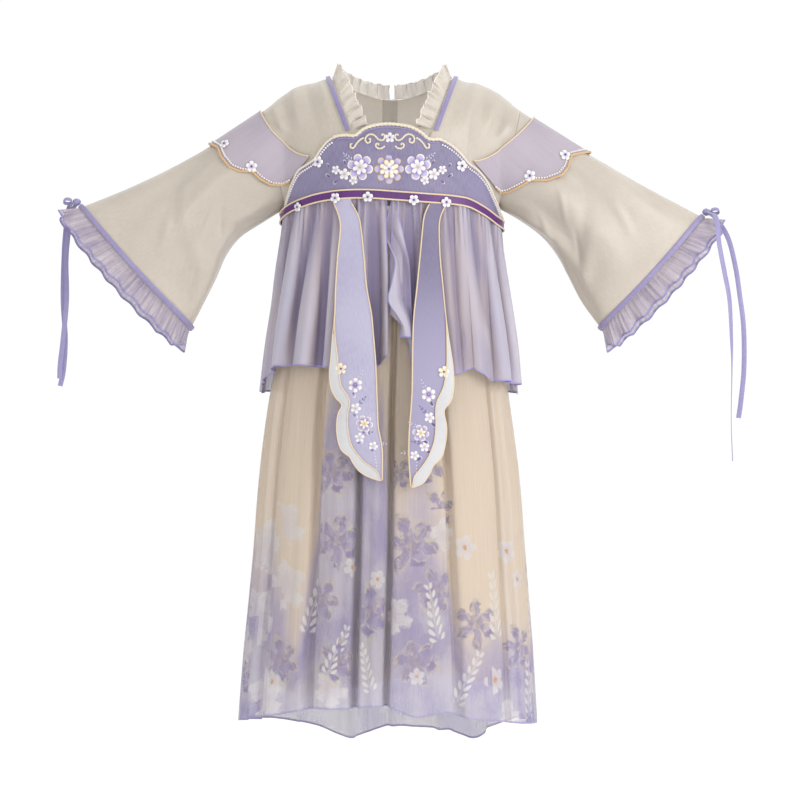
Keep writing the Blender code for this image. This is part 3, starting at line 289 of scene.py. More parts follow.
# Ribbon tails of the cuff ties: route points and the turn of the ribbon's face in degrees.
TAIL_WIDTH = 0.0066
TAILS = {
    "tie_tail_left_a": table(
        "x y z turn",
        (-0.4278, 0.0051, -0.1570, 40), (-0.4405, 0.030, -0.1640, 30), (-0.4466, 0.042, -0.2000, 10),
        (-0.4490, 0.045, -0.2365, 0), (-0.4500, 0.045, -0.2885, 5), (-0.4470, 0.045, -0.3432, 10),
        (-0.4495, 0.045, -0.3842, 5), (-0.4540, 0.045, -0.4061, 0)),
    "tie_tail_left_b": table(
        "x y z turn",
        (-0.4270, 0.0046, -0.1604, 40), (-0.4370, 0.022, -0.1720, 30), (-0.4420, 0.0340, -0.2010, 10),
        (-0.4450, 0.038, -0.2365, 0), (-0.4442, 0.038, -0.2885, -5), (-0.4492, 0.038, -0.3432, 5),
        (-0.4530, 0.038, -0.3760, 0), (-0.4538, 0.038, -0.3960, 0)),
    "tie_tail_right_a": table(
        "x y z turn",
        (0.4263, -0.0052, -0.1725, 32), (0.4340, -0.028, -0.1810, 20), (0.4363, -0.042, -0.2174, 20),
        (0.4433, -0.045, -0.2570, 20), (0.4496, -0.045, -0.2927, 30), (0.4523, -0.045, -0.3463, 50),
        (0.4528, -0.045, -0.3820, 70), (0.4517, -0.045, -0.4519, 80), (0.4537, -0.045, -0.5065, 75)),
    "tie_tail_right_b": table(
        "x y z turn",
        (0.4267, 0.0052, -0.1725, -35), (0.4430, 0.030, -0.1800, -20), (0.4595, 0.042, -0.2050, 0),
        (0.4696, 0.045, -0.2433, 5), (0.4752, 0.045, -0.2803, 5), (0.4807, 0.045, -0.3254, 0),
        (0.4813, 0.045, -0.3808, -5), (0.4772, 0.045, -0.4253, -5), (0.4738, 0.045, -0.4499, 0)),
}

# Pearl flowers; seat is a flower's height over the curve of the panel under it.
BELT_FLOWERS = table(
    "degrees radius seat", (-55, 0.0065, 0.0003), (-29.4, 0.0072, 0.0002), (-12, 0.0072, 0.0001),
    (11, 0.0072, 0.0002), (28.2, 0.0072, 0.0003))
PANEL_FLOWERS = table(
    "x z radius seat", (-0.0955, -0.1110, 0.0078, 0.0003), (0.0905, -0.1165, 0.0078, 0.0003))
CAP_FLOWERS = table(
    "x z radius seat", (-0.1866, -0.1150, 0.0080, 0.0002), (-0.2225, -0.0850, 0.0070, 0.0002),
    (0.1840, -0.1265, 0.0080, 0.0002), (0.2300, -0.1000, 0.0080, -0.0001))

# %% [markdown]
# ## Curves through the tables
# A table gives a few measured places. A smooth curve through them gives every place between, which is
# how a cutter joins the marks on a paper pattern with a curved ruler.

# %% Curves
def smooth(rows, column, at, key):
    """A column's value at a key, on the smooth curve through the table's rows."""
    keys = rows[key]
    values = rows[column]
    slopes = np.gradient(values, keys)
    at = np.clip(at, keys[0], keys[-1])
    i = np.clip(np.searchsorted(keys, at) - 1, 0, len(keys) - 2)
    span = keys[i + 1] - keys[i]
    t = (at - keys[i]) / span
    return ((1 + 2 * t) * (1 - t) ** 2 * values[i] + t * (1 - t) ** 2 * span * slopes[i]
            + t * t * (3 - 2 * t) * values[i + 1] - t * t * (1 - t) * span * slopes[i + 1])


def along(rows, column, at):
    """A column's value at a row number, on the smooth curve through the rows."""
    return smooth(dict(rows, row=np.arange(len(rows[column]))), column, at, "row")


def straight_row(rows, column, at):
    return np.interp(at, np.arange(len(rows[column])), rows[column])


def grid_of(rows, columns):
    return np.meshgrid(np.asarray(rows, float), np.asarray(columns, float), indexing="ij")


def points_of(x, y, z):
    return np.stack(np.broadcast_arrays(x, y, z), axis=-1)


def unit(vectors):
    """The same directions with a length of one."""
    return vectors / np.maximum(np.linalg.norm(vectors, axis=-1, keepdims=True), 1e-12)


def metres(path):
    """Metres along a path from its start, at each of its points."""
    return np.concatenate(((0,), np.cumsum(np.linalg.norm(np.diff(path, axis=0), axis=1))))


# %% Form of the body and the sleeves
def ellipse_point(degrees, half_width, half_depth, centre_x, grow):
    """Points round the body, moved out by grow along the ellipse's normal."""
    turn = np.radians(degrees)
    side, front = np.sin(turn), np.cos(turn)
    out = np.stack((side / half_width, -front / half_depth))
    out = out / np.linalg.norm(out, axis=0)
    return centre_x + half_width * side + out[0] * grow, -half_depth * front + out[1] * grow


def shoulder_z(x):
    return smooth(SHOULDER, "z", x, "x")


def blouse_depth(x, z):
    """Half depth of the blouse body at places of the front view."""
    x = np.abs(x)
    lean = (ARMHOLE_TOP_X - UNDERARM_X) / (ARMHOLE_TOP_Z - UNDERARM_Z)
    foot = x
    for _ in range(5):
        foot = x - lean * (foot / UNDERARM_X) ** 2 * np.maximum(z - UNDERARM_Z, 0)
    top = shoulder_z(foot)
    for _ in range(5):
        top = shoulder_z(foot + lean * (foot / UNDERARM_X) ** 2 * (top - UNDERARM_Z))
    rise = np.clip((z - UNDERARM_Z) / (top - UNDERARM_Z), 0, 1)
    arm = ARMHOLE_HALF_DEPTH * 2 * np.sqrt(rise * (1 - rise))
    fall = np.clip((top - z) / SHOULDER_ROUND, 0, 1)
    trunk = CHEST_HALF_DEPTH * np.sqrt(np.maximum(0, 1 - (x / CHEST_HALF_WIDTH) ** 2))
    trunk = trunk * np.sqrt(1 - (1 - fall) ** 2)
    return (trunk ** 4 + arm ** 4) ** 0.25


def sleeve_line(rows, at):
    """Top and underside points of a sleeve's section, in the front view."""
    return (np.stack((along(rows, "top_x", at), along(rows, "top_z", at)), -1),
            np.stack((along(rows, "under_x", at), along(rows, "under_z", at)), -1))


def arm_depth(rows, x, z):
    """Half depth of the blouse body or the sleeve at places of the front view."""
    place = np.stack(np.broadcast_arrays(np.abs(x), z), -1).astype(float)

    def seen_from(at):
        top, under = sleeve_line(rows, at)
        chord, gap = under - top, place - top
        return chord, gap, chord[..., 0] * gap[..., 1] < chord[..., 1] * gap[..., 0]
    low = np.zeros(place.shape[:-1])
    on_body = seen_from(low)[2]
    high = low + len(rows["top_x"]) - 1
    for _ in range(22):
        at = (low + high) / 2
        before = seen_from(at)[2]
        high = np.where(before, at, high)
        low = np.where(before, low, at)
    chord, gap, _ = seen_from(at)
    part = np.clip(np.sum(gap * chord, -1) / np.sum(chord * chord, -1), 0, 1)
    depth = along(rows, "half_depth", at) * 2 * np.sqrt(part * (1 - part))
    return np.where(on_body, blouse_depth(x, z), depth)


def laid(depth, x, z, lift):
    """Places on the front of a form, moved out by lift, with their outward directions."""
    step = 0.001
    x, z = np.broadcast_arrays(np.asarray(x, float), np.asarray(z, float))
    slope_x = (depth(x - step, z) - depth(x + step, z)) / (2 * step)
    slope_z = (depth(x, z - step) - depth(x, z + step)) / (2 * step)
    out = unit(points_of(slope_x, -1.0, slope_z))
    return points_of(x, -depth(x, z), z) + out * lift, out


# %% [markdown]
# ## Cutting and sewing cloth
# Every panel is a grid of points: rows run down the cloth and columns run across it. Sewing gives the
# grid a second side a thread's thickness away and closes the edges. It also keeps two maps. One measures
# the cloth in metres for weave and crinkle, the other says how far each place is from an edge.

# %% Sewing
THIN = 0.0005            # the real cloth, thinner than the solids' walls
SHEER_THIN = 0.0003      # organza and chiffon
SHARP = math.radians(65)   # a steeper turn than this keeps its edge
corner_places = {}       # for each cloth, the grid place of every face corner


def normals(points, ring=False, inside=None):
    """Outward unit normals of a grid of points, and whether its own order already points out."""
    down = np.gradient(points, axis=0)
    if ring:
        across = np.roll(points, -1, axis=1) - np.roll(points, 1, axis=1)
        away = points - points.mean(axis=1, keepdims=True)
    else:
        across = np.gradient(points, axis=1)
        away = points - np.array(inside or (0, 0, points[..., 2].mean()))
    normal = unit(np.cross(down, across))
    outwards = np.sum(normal * away) > 0
    return (normal if outwards else -normal), outwards


def running(points, axis):
    """Metres along each row or column of a grid, from its start."""
    steps = np.linalg.norm(np.diff(points, axis=axis), axis=2)
    zero = np.zeros_like(steps.take([0], axis))
    return np.concatenate((zero, np.cumsum(steps, axis)), axis)


def mesh_piece(name, places, faces, material):
    """A smooth mesh object of one material."""
    mesh = bpy.data.meshes.new(name)
    mesh.from_pydata(places.reshape(-1, 3).tolist(), [], faces)
    mesh.shade_smooth()
    mesh.materials.append(material)
    piece = bpy.data.objects.new(name, mesh)
    bpy.context.collection.objects.link(piece)
    return piece


def carry(piece, slot, *nodes):
    """Attaches a piece to the body that carries it and hides the solids that it stands for. The slot is not
    used.
    """
    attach(piece, "root")
    if nodes:
        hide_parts(*nodes)


def number_points(piece, title, values):
    """Gives each point of a piece a number that its finish can read."""
    layer = piece.data.attributes.new(title, "FLOAT", "POINT")
    layer.data.foreach_set("value", np.asarray(values, float).ravel())


def sew(name, points, material, ring=False, inside=None, thick=THIN):
    """A closed thin cloth on a grid of points, with its cloth map and its edge map."""
    out, outwards = normals(points, ring, inside)
    rows, columns = points.shape[:2]
    last = columns if ring else columns - 1
    whole = np.concatenate((points, points[:, :1]), 1) if ring else points
    across, down = running(whole, 1), running(whole, 0)
    side = np.ones_like(across) if ring else np.minimum(across, across[:, -1:] - across)
    maps = {"cloth": (np.broadcast_to(across.mean(0), across.shape), down),
            "edge": (down[-1:] - down, side)}

    def corners(*places):
        return np.stack([np.stack(np.broadcast_arrays(*p), -1).reshape(-1, 3) for p in places], 1)
    i, j = np.meshgrid(np.arange(rows - 1), np.arange(last), indexing="ij")
    r, c = rows - 1, last
    js, eyes = np.arange(last), np.arange(rows - 1)
    faces = [corners((0, i, j), (0, i, j + 1), (0, i + 1, j + 1), (0, i + 1, j)),
             corners((1, i, j), (1, i + 1, j), (1, i + 1, j + 1), (1, i, j + 1)),
             corners((0, 0, js + 1), (0, 0, js), (1, 0, js), (1, 0, js + 1)),
             corners((0, r, js), (0, r, js + 1), (1, r, js + 1), (1, r, js))]
    if not ring:
        faces += [corners((0, eyes, 0), (0, eyes + 1, 0), (1, eyes + 1, 0), (1, eyes, 0)),
                  corners((0, eyes + 1, c), (0, eyes, c), (1, eyes, c), (1, eyes + 1, c))]
    faces = np.concatenate(faces)
    if outwards:
        faces = faces[:, ::-1]
    layer, i, j = faces[..., 0], faces[..., 1], faces[..., 2]
    corner_places[name] = (i, j)
    piece = mesh_piece(name, np.stack((points, points - out * thick)),
                       (layer * rows * columns + i * columns + j % columns).tolist(), material)
    for title, (first, second) in maps.items():
        uv = np.stack((first[i, j], second[i, j]), -1)
        piece.data.uv_layers.new(name=title).data.foreach_set("uv", uv.ravel())
    piece.data.set_sharp_from_angle(angle=SHARP)
    return piece


NARROW = 0.0102          # a narrower strip is trim, and its cut's area is not clamped
LEAST_AREA = 0.31        # least share of its box that a cut's area is stated as


def hang(piece, points, nodes, slot, rests_on=(), ring=False):
    """States the cloth's cut, what it stands for and the body that carries it."""
    whole = np.concatenate((points, points[:, :1]), 1) if ring else points
    width, length = running(whole, 1)[:, -1].max(), running(whole, 0)[-1].max()
    edges = np.diff(whole, axis=1)[:-1], np.diff(whole, axis=0)[:, :-1]
    area = np.linalg.norm(np.cross(*edges), axis=2).sum()
    carry(piece, slot, *nodes)
    if min(width, length) > NARROW:
        area = float(np.clip(area, LEAST_AREA * width * length, width * length))
    print("%-20s cut %.0f x %.0f mm, %.0f cm2" % (piece.name, width * 1e3, length * 1e3, area * 1e4))


def crease(points, rows, ring=False):
    """Soft lines pressed into a grid of points. A row gives its two ends as shares across and down
    the cloth, then its half width and its depth in metres. A positive depth is a ridge and a
    negative one a hollow."""
    whole = np.concatenate((points, points[:, :1]), 1) if ring else points
    width, height = running(whole, 1)[:, -1].mean(), running(whole, 0)[-1].mean()
    down, across = grid_of(np.linspace(0, 1, points.shape[0]),
                           np.arange(points.shape[1]) / (points.shape[1] - (not ring)))
    move = np.zeros(down.shape)
    for u0, v0, u1, v1, half, depth in zip(*rows.values()):
        run_u, run_v = (u1 - u0) * width, (v1 - v0) * height
        for lap in ((-1, 0, 1) if ring else (0,)):
            gap_u, gap_v = (across + lap - u0) * width, (down - v0) * height
            t = np.clip((gap_u * run_u + gap_v * run_v) / (run_u ** 2 + run_v ** 2), 0, 1)
            gap = (gap_u - t * run_u) ** 2 + (gap_v - t * run_v) ** 2
            move += depth * np.exp(-gap / half ** 2) * (0.25 + 0.75 * np.sin(math.pi * t))
    return points + normals(points, ring)[0] * move[..., None]


CREASE = "u0 v0 u1 v1 half depth"

# %% [markdown]
# ## Mixing finishes
# A material is a small tree of nodes. Long trees are hard to read as nodes, so a value from a socket is
# wrapped here, and ordinary sums on it add the Math nodes. One method makes any other node.

# %% A wrapped socket and a finish
class Value:
    """A shader socket that can be used in sums."""

    def __init__(self, finish, socket):
        self.finish, self.socket = finish, socket

    def join(self, operation, *values):
        return self.finish.node("Math", {"operation": operation}, dict(enumerate(values)))

    def __add__(self, other):
        return self.join("ADD", self, other)

    def __sub__(self, other):
        return self.join("SUBTRACT", self, other)

    def __rsub__(self, other):
        return self.join("SUBTRACT", other, self)

    def __mul__(self, other):
        return self.join("MULTIPLY", self, other)

    def __truediv__(self, other):
        return self.join("DIVIDE", self, other)

    def __rtruediv__(self, other):
        return self.join("DIVIDE", other, self)

    def __pow__(self, other):
        return self.join("POWER", self, other)

    def __abs__(self):
        return self.join("ABSOLUTE", self)

    def over(self, edge, soft):
        """1 where the value is above the edge, 0 where it is below, with a soft change between."""
        return self.finish.node("MapRange", {"interpolation_type": "SMOOTHSTEP"},
                                {0: self, 1: edge - soft / 2, 2: edge + soft / 2, 3: 0.0, 4: 1.0})

    def do(self, operation, *values):
        return self.join(operation, self, *values)

    __radd__, __rmul__ = __add__, __mul__


class Finish:
    """A Principled material that is built up from wrapped values."""

    def __init__(self, name, **constants):
        self.material = bpy.data.materials.new(name)
        self.material.use_nodes = True
        self.tree = self.material.node_tree
        self.shader = self.tree.nodes["Principled BSDF"]
        for key, value in constants.items():
            self.feed(key.replace("_", " ").title(), value)

    def node(self, kind, settings=None, inputs=None, out=0):
        made = self.tree.nodes.new("ShaderNode" + kind)
        for key, value in (settings or {}).items():
            if key == "stops":
                elements = made.color_ramp.elements
                for place, _ in value[2:]:
                    elements.new(place)
                for stop, (place, colour) in zip(elements, sorted(value)):
                    stop.position, stop.color = place, (*colour, 1)
            else:
                setattr(made, key, value)
        for key, value in (inputs or {}).items():
            self.link(made.inputs[key], value)
        return Value(self, made.outputs[out])

    def link(self, socket, value):
        if isinstance(value, Value):
            self.tree.links.new(value.socket, socket)
        elif socket.type == "RGBA":
            socket.default_value = (*value, 1)
        else:
            socket.default_value = value

    def feed(self, name, value):
        self.link(self.shader.inputs[name], value)

    def map(self, title):
        """The two values of one of the cloth's own maps."""
        pair = self.node("UVMap", {"uv_map": title})
        parts = self.node("SeparateXYZ", {}, {0: pair})
        return parts, Value(self, parts.socket.node.outputs[1])

    def place(self):
        """Metres across, back and up in the dress's own frame."""
        where = self.node("TexCoord", {}, {}, "Object")
        parts = self.node("SeparateXYZ", {}, {0: where})
        return [Value(self, parts.socket.node.outputs[k]) for k in range(3)]

    def noise(self, x, y, z=0.0, detail=2.0, rough=0.5):
        where = self.node("CombineXYZ", {}, {0: x, 1: y, 2: z})
        return self.node("TexNoise", {}, {"Vector": where, "Scale": 1.0, "Detail": detail,
                                          "Roughness": rough})

    def mix(self, below, above, mask):
        return self.node("Mix", {"data_type": "RGBA"}, {0: mask, 6: below, 7: above}, 2)

    def ramp(self, value, *stops):
        return self.node("ValToRGB", {"stops": stops}, {0: value})

    def bump(self, height, strength, distance):
        self.feed("Normal", self.node("Bump", {}, {"Height": height, "Strength": strength,
                                                   "Distance": distance}))


STUDIO = 0.74            # the studio's light brightens every dye, so its base is this much darker


def srgb(red, green, blue):
    """A dye's base from its colour as seen in the studio, on a colour chart's scale."""
    return tuple(STUDIO * ((c / 255 + 0.055) / 1.055) ** 2.4 for c in (red, green, blue))


# %% [markdown]
# ## The cloths
# Satin has long floats, so it is smooth and a little shiny. Organza and chiffon are sheer: what lies
# behind shows through, and where they fold over they are less see-through; shade is painted into the
# hollows of their folds as well. Weave and crinkle are bumps that are measured on the cloth map, so they
# follow each fold.

# %% Cloths
WEAVE = 1400.0           # threads a metre
BUMP_HEIGHT = 0.0012     # metres that a bump of 1 stands for


def weave(finish, u, v, crinkle=0.0, strength=0.35, rumple=0.0):
    """Fine uneven threads, with long soft crinkles down the cloth if it has any."""
    height = finish.noise(u * WEAVE, v * WEAVE * 0.12) * 0.3
    height = height + finish.noise(u * WEAVE * 0.12, v * WEAVE, 3.0) * 0.3
    if crinkle:
        height = height + finish.noise(u * 420.0, v * 12.0, 1.0, 4.0) * crinkle
    if rumple:
        dents = finish.noise(u * 13.0, v * 9.0, 8.0, 1.0, 0.45)
        ridge = 1 - abs(finish.noise(u * 9.0, v * 7.0, 3.0, 1.0) - 0.5) * 9.0
        dents = dents + ridge.do("MAXIMUM", 0.0) * 0.14
        height = height + dents * (rumple / BUMP_HEIGHT / strength)
    finish.bump(height, strength, BUMP_HEIGHT)


def satin(name, colour, deep, rough=0.55, sheen=0.25, glow=0.0, rumple=0.0, below=None):
    """An opaque cloth whose dye varies a little in soft clouds. Glow lets light pass through it, and
    rumple is the depth in metres of the soft dents that handling leaves. Where a colour below is given,
    shade is painted in: the dye stays darker at the upper end and fades towards that colour lower down."""
    finish = Finish(name, roughness=rough, sheen_weight=sheen, sheen_roughness=0.4,
                    subsurface_weight=glow, subsurface_scale=0.003,
                    subsurface_radius=(1.0, 1.0, 1.0))
    u, v = finish.map("cloth")
    cloud = finish.noise(u * 14.0, v * 14.0, 5.0)
    thread = finish.noise(u * 900.0, v * 110.0, 2.0)
    dye = finish.mix(colour, deep, (cloud * 0.5 + thread * 0.5).over(0.55, 0.5))
    if below:
        dye = finish.mix(dye, below, v.over(0.14, 0.20) * 0.8)
    finish.feed("Base Color", dye)
    weave(finish, u, v, rumple=rumple)
    return finish


def sheer(name, colour, deep, alpha, hem, hem_width, crinkle=0.5, rough=0.6, tint=None, pleats=700.0):
    """A see-through cloth with a rolled or bound hem. With a tint, it gets pinkish clouds, shade is
    painted into its hollows and a pale highlight onto its ridges, and its flat stretches let more of what
    lies behind show."""
    finish = Finish(name, roughness=rough, sheen_weight=0.35, sheen_roughness=0.4)
    u, v = finish.map("cloth")
    to_hem, to_side = finish.map("edge")
    cloud = finish.noise(u * 12.0, v * 8.0, 7.0)
    streak = finish.noise(u * pleats, v * 14.0, 2.0, 4.0)
    dye = finish.mix(colour, deep, (cloud * 0.45 + streak * 0.55).over(0.52, 0.4))
    bound = 1 - to_hem.over(hem_width, 0.0006)
    cover = alpha + streak * 0.12 - 0.06
    if tint:
        fold = finish.node("Attribute", {"attribute_name": "fold"}, {}, 2)
        dye = finish.mix(dye, tint, finish.noise(u * 24.0, v * 5.0, 3.0).over(0.52, 0.22) * 0.75)
        # Painted shade and painted highlight: the hollows take the deep colour and the ridges a pale
        # lavender, by how far the cloth stands out.
        dye = finish.mix(dye, deep, (fold * -1.3).do("MAXIMUM", 0.0).do("MINIMUM", 0.9))
        dye = finish.mix(dye, srgb(226, 222, 238), (fold * 0.9).do("MAXIMUM", 0.0).do("MINIMUM", 0.7))
        cover = cover + abs(fold) * 0.22
        bound = bound.do("MAXIMUM", 1 - to_side.over(0.0016, 0.0006))
    finish.feed("Base Color", finish.mix(dye, hem, bound))
    finish.feed("Alpha", (cover + bound).do("MINIMUM", 1.0))
    weave(finish, u, v, crinkle=crinkle)
    return finish


cream = satin("cream satin", srgb(209, 199, 186), srgb(194, 182, 168), 0.38, glow=0.45, rumple=0.008)
# The back is the same cream satin. Its lighter colour is painted light on the inside of the back, and its
# stronger glow really lets more light through it.
painted_light_back_cream = satin("back cream satin painted lighter", srgb(224, 212, 198), srgb(210, 196, 180), 0.42,
                   glow=0.95, rumple=0.004)
band_satin = satin("lavender binding", srgb(158, 149, 190), srgb(130, 120, 166), 0.42)
chest_satin = satin("chest panel satin", srgb(146, 138, 170), srgb(108, 100, 132), 0.5, rumple=0.004)
belt_satin = satin("belt satin", srgb(98, 36, 122), srgb(76, 24, 100), 0.4, 0.05)
lining_cloth = satin("lining cloth", srgb(238, 226, 210), srgb(224, 211, 195), 0.7)
ribbon_satin = satin("ribbon satin", srgb(160, 152, 196), srgb(140, 132, 180), 0.45)
streamer_satin = satin("streamer satin", srgb(190, 186, 210), srgb(172, 166, 194))
# The right streamer is cut from the same satin as the left one. Its darker colour is painted shade, which
# fades lighter towards the streamer's lower end.
painted_shade_streamer_satin = satin("streamer satin with painted shade", srgb(126, 118, 148), srgb(106, 98, 130),
                            below=srgb(168, 162, 192))
border_satin = satin("streamer border satin", srgb(214, 213, 214), srgb(198, 198, 202))
placket_voile = sheer("placket voile", srgb(250, 242, 230), srgb(236, 226, 212), 0.22,
                      srgb(246, 238, 226), 0.0012, pleats=300.0)
collar_organza = sheer("collar organza", srgb(248, 240, 228), srgb(232, 220, 206), 0.54,
                       srgb(243, 236, 226), 0.0012)
cap_organza = sheer("cap organza", srgb(202, 191, 202), srgb(184, 173, 188), 0.85,
                    srgb(196, 184, 204), 0.001, crinkle=0.15)
ruffle_organza = sheer("cuff organza", srgb(224, 212, 216), srgb(150, 138, 176), 0.50,
                       srgb(150, 141, 190), 0.0030, pleats=210.0)
peplum_organza = sheer("peplum organza", srgb(200, 191, 214), srgb(142, 130, 168), 0.46,
                       srgb(150, 142, 192), 0.0024, rough=0.5, tint=srgb(216, 200, 204))
print(len(bpy.data.materials), "finishes")

# %% [markdown]
# ## The blouse
# Two fronts meet a back at the shoulders and the armholes. The cloth is a soft cream satin that falls in
# shallow upright folds from the shoulder, and small gathers are caught in above the chest panel.

# %% Blouse
def chest_top_z(degrees):
    return smooth(CHEST_TOP, "z", np.clip(degrees, -89.8, 89.8), "degrees")


def body_degrees(x):
    return np.degrees(np.arcsin(np.clip(x / CHEST_HALF_WIDTH, -1, 1)))


def caught_gathers(x, z):
    """Small gathers just above the chest panel's side lobes, as a move along the cloth's normal."""
    degrees = body_degrees(x)
    over = z - chest_top_z(degrees)
    where = np.exp(-((np.abs(degrees) - 38) / 13) ** 2) * np.exp(-(np.maximum(over, 0) / 0.017) ** 2)
    where = where * np.clip(1 + over / 0.004, 0, 1)
    return 0.0013 * where * np.sin(degrees * 2.4 + 1.2 * np.sin(degrees * 0.5))


def closed_at_shoulder(depth, fall, share=1.0):
    """Depths that come to nothing on the first row, so that front and back meet in the shoulder seam."""
    print("shoulder seam closed over", round(float(depth[0].max()) * 1000, 1), "mm")
    return depth - depth[:1] * share * np.clip(1 - fall / 0.05, 0, 1)


FRONT_FOLDS = {
    -1: table(CREASE, (0.12, 0.02, 0.16, 0.50, 0.006, 0.0012), (0.30, 0.05, 0.34, 0.62, 0.008, -0.0016),
              (0.47, 0.02, 0.50, 0.55, 0.007, 0.0014), (0.64, 0.05, 0.60, 0.48, 0.008, -0.0013),
              (0.80, 0.10, 0.72, 0.50, 0.006, 0.0011), (0.92, 0.30, 0.60, 0.62, 0.006, -0.0010)),
    1: table(CREASE, (0.10, 0.05, 0.13, 0.55, 0.006, -0.0010), (0.26, 0.02, 0.31, 0.58, 0.007, 0.0013),
             (0.42, 0.04, 0.44, 0.60, 0.008, -0.0015), (0.58, 0.02, 0.55, 0.50, 0.007, 0.0012),
             (0.74, 0.06, 0.68, 0.52, 0.008, -0.0014), (0.88, 0.25, 0.66, 0.60, 0.006, 0.0010))}
FRONT_PRESS = 2.2        # how much deeper than the table's the fronts' folds are pressed
falls = np.linspace(0, 1, 56) ** 1.5
for side, name in SIDES:
    fall, part = grid_of(falls, 1 - (1 - np.linspace(0, 1, 52)) ** 1.3)
    x_top = NECK_X + (ARMHOLE_TOP_X - NECK_X) * part
    x = x_top + (NECK_FRONT_X + (UNDERARM_X - NECK_FRONT_X) * part - x_top) * fall
    z = shoulder_z(x_top) * (1 - fall) + UNDERARM_Z * fall
    depth = closed_at_shoulder(blouse_depth(x, z), fall)
    points = points_of(side * x, -depth - SEAM / 2, z)
    points = points + FRONT_PRESS * (crease(points, FRONT_FOLDS[side]) - points)
    points = points + normals(points)[0] * caught_gathers(side * x, z)[..., None]
    hang(sew("blouse_front_cloth_" + name, points, cream.material), points,
         ["blouse_front_" + name], "cream", rests_on=["wearer's shoulder"])

BACK_FOLDS = table(
    CREASE, (0.30, 0.02, 0.28, 0.75, 0.008, 0.0014), (0.39, 0.02, 0.37, 0.85, 0.007, -0.0012),
    (0.47, 0.02, 0.47, 0.90, 0.006, 0.0010), (0.53, 0.02, 0.54, 0.90, 0.006, 0.0011),
    (0.62, 0.02, 0.64, 0.80, 0.008, -0.0014), (0.71, 0.02, 0.73, 0.70, 0.008, 0.0012),
    (0.16, 0.10, 0.24, 0.70, 0.009, -0.0014), (0.85, 0.12, 0.78, 0.66, 0.009, -0.0013))
fall, part = grid_of(falls, np.sin(np.linspace(-1, 1, 121) * math.pi / 2))
x_top = ARMHOLE_TOP_X * part
dip = np.where(np.abs(x_top) < NECK_X, NECK_BACK_DROP * (1 - (x_top / NECK_X) ** 2), 0)
x = x_top + (UNDERARM_X * part - x_top) * fall
z = (shoulder_z(np.abs(x_top)) - dip) * (1 - fall) + UNDERARM_Z * fall
outside_neck = np.clip((np.abs(x_top) - NECK_X) / 0.008, 0, 1)
depth = closed_at_shoulder(blouse_depth(x, z), fall, outside_neck)
points = crease(points_of(x, depth + SEAM / 2, z), BACK_FOLDS)
neck_gathers = 0.0009 * np.exp(-(fall / 0.28) ** 2) * (np.abs(x_top) < NECK_X)
points[..., 1] += neck_gathers * np.sin(x * 620 + 2 * np.sin(x * 90)) * np.clip(fall / 0.04, 0, 1)
# The back is sewn from the cream satin painted lighter.
hang(sew("blouse_back_cloth", points, painted_light_back_cream.material), points, ["blouse_back"], "cream",
     rests_on=["wearer's shoulder"])

# %% [markdown]
# ## Placket, neckline bands and collar
# A plain placket closes the back behind the neck. Narrow lavender satin bands bind the two front edges,
# and a sheer gathered ruffle stands inside the neckline. The ruffle is a strip far longer than the edge
# it is sewn to, so its free edge has to wave.

# %% Placket inside the back
PLACKET_FOLDS = table(CREASE, (0.2, 0.0, 0.3, 0.9, 0.0015, 0.0008), (0.72, 0.0, 0.62, 0.8, 0.0015, 0.0008))
z, part = grid_of(np.linspace(-0.0130, -0.115, 40), np.linspace(-1, 1, 21))
x = 0.0105 * part - 0.0035 + 0.02 * (z + 0.05)
points = points_of(x, blouse_depth(x, z) - 0.0024 - 0.0012 * (1 - part ** 4), z)
placket = sew("back_placket", crease(points, PLACKET_FOLDS), placket_voile.material, inside=(0, 0.2, -0.06))
carry(placket, "cream")

# %% Neckline bands
def neckline_x(z):
    """Distance of the front neckline edge from the centre plane at a height."""
    return NECK_FRONT_X + (NECK_X - NECK_FRONT_X) * (z - UNDERARM_Z) / (shoulder_z(NECK_X) - UNDERARM_Z)


top = shoulder_z(NECK_X) - 0.0020
heights = top + (NECK_BAND_END_Z - top) * np.linspace(0, 1, 60) ** 1.6
for side, name in SIDES:
    z, part = grid_of(heights, np.linspace(0.02, 1, 9))
    x = neckline_x(z) + NECK_BAND_WIDTH * part
    points = points_of(side * x, -blouse_depth(x, z) - SEAM / 2, z)
    crown = 0.0005 * (1 - (2 * part - 1) ** 4) + 0.00015 * np.sin(z * 1500) * (np.abs(part - 0.5) > 0.4)
    points = points + normals(points)[0] * (LIE + WALL + crown)[..., None]
    hang(sew("neck_band_satin_" + name, points, band_satin.material), points, ["neck_band_" + name], "band")

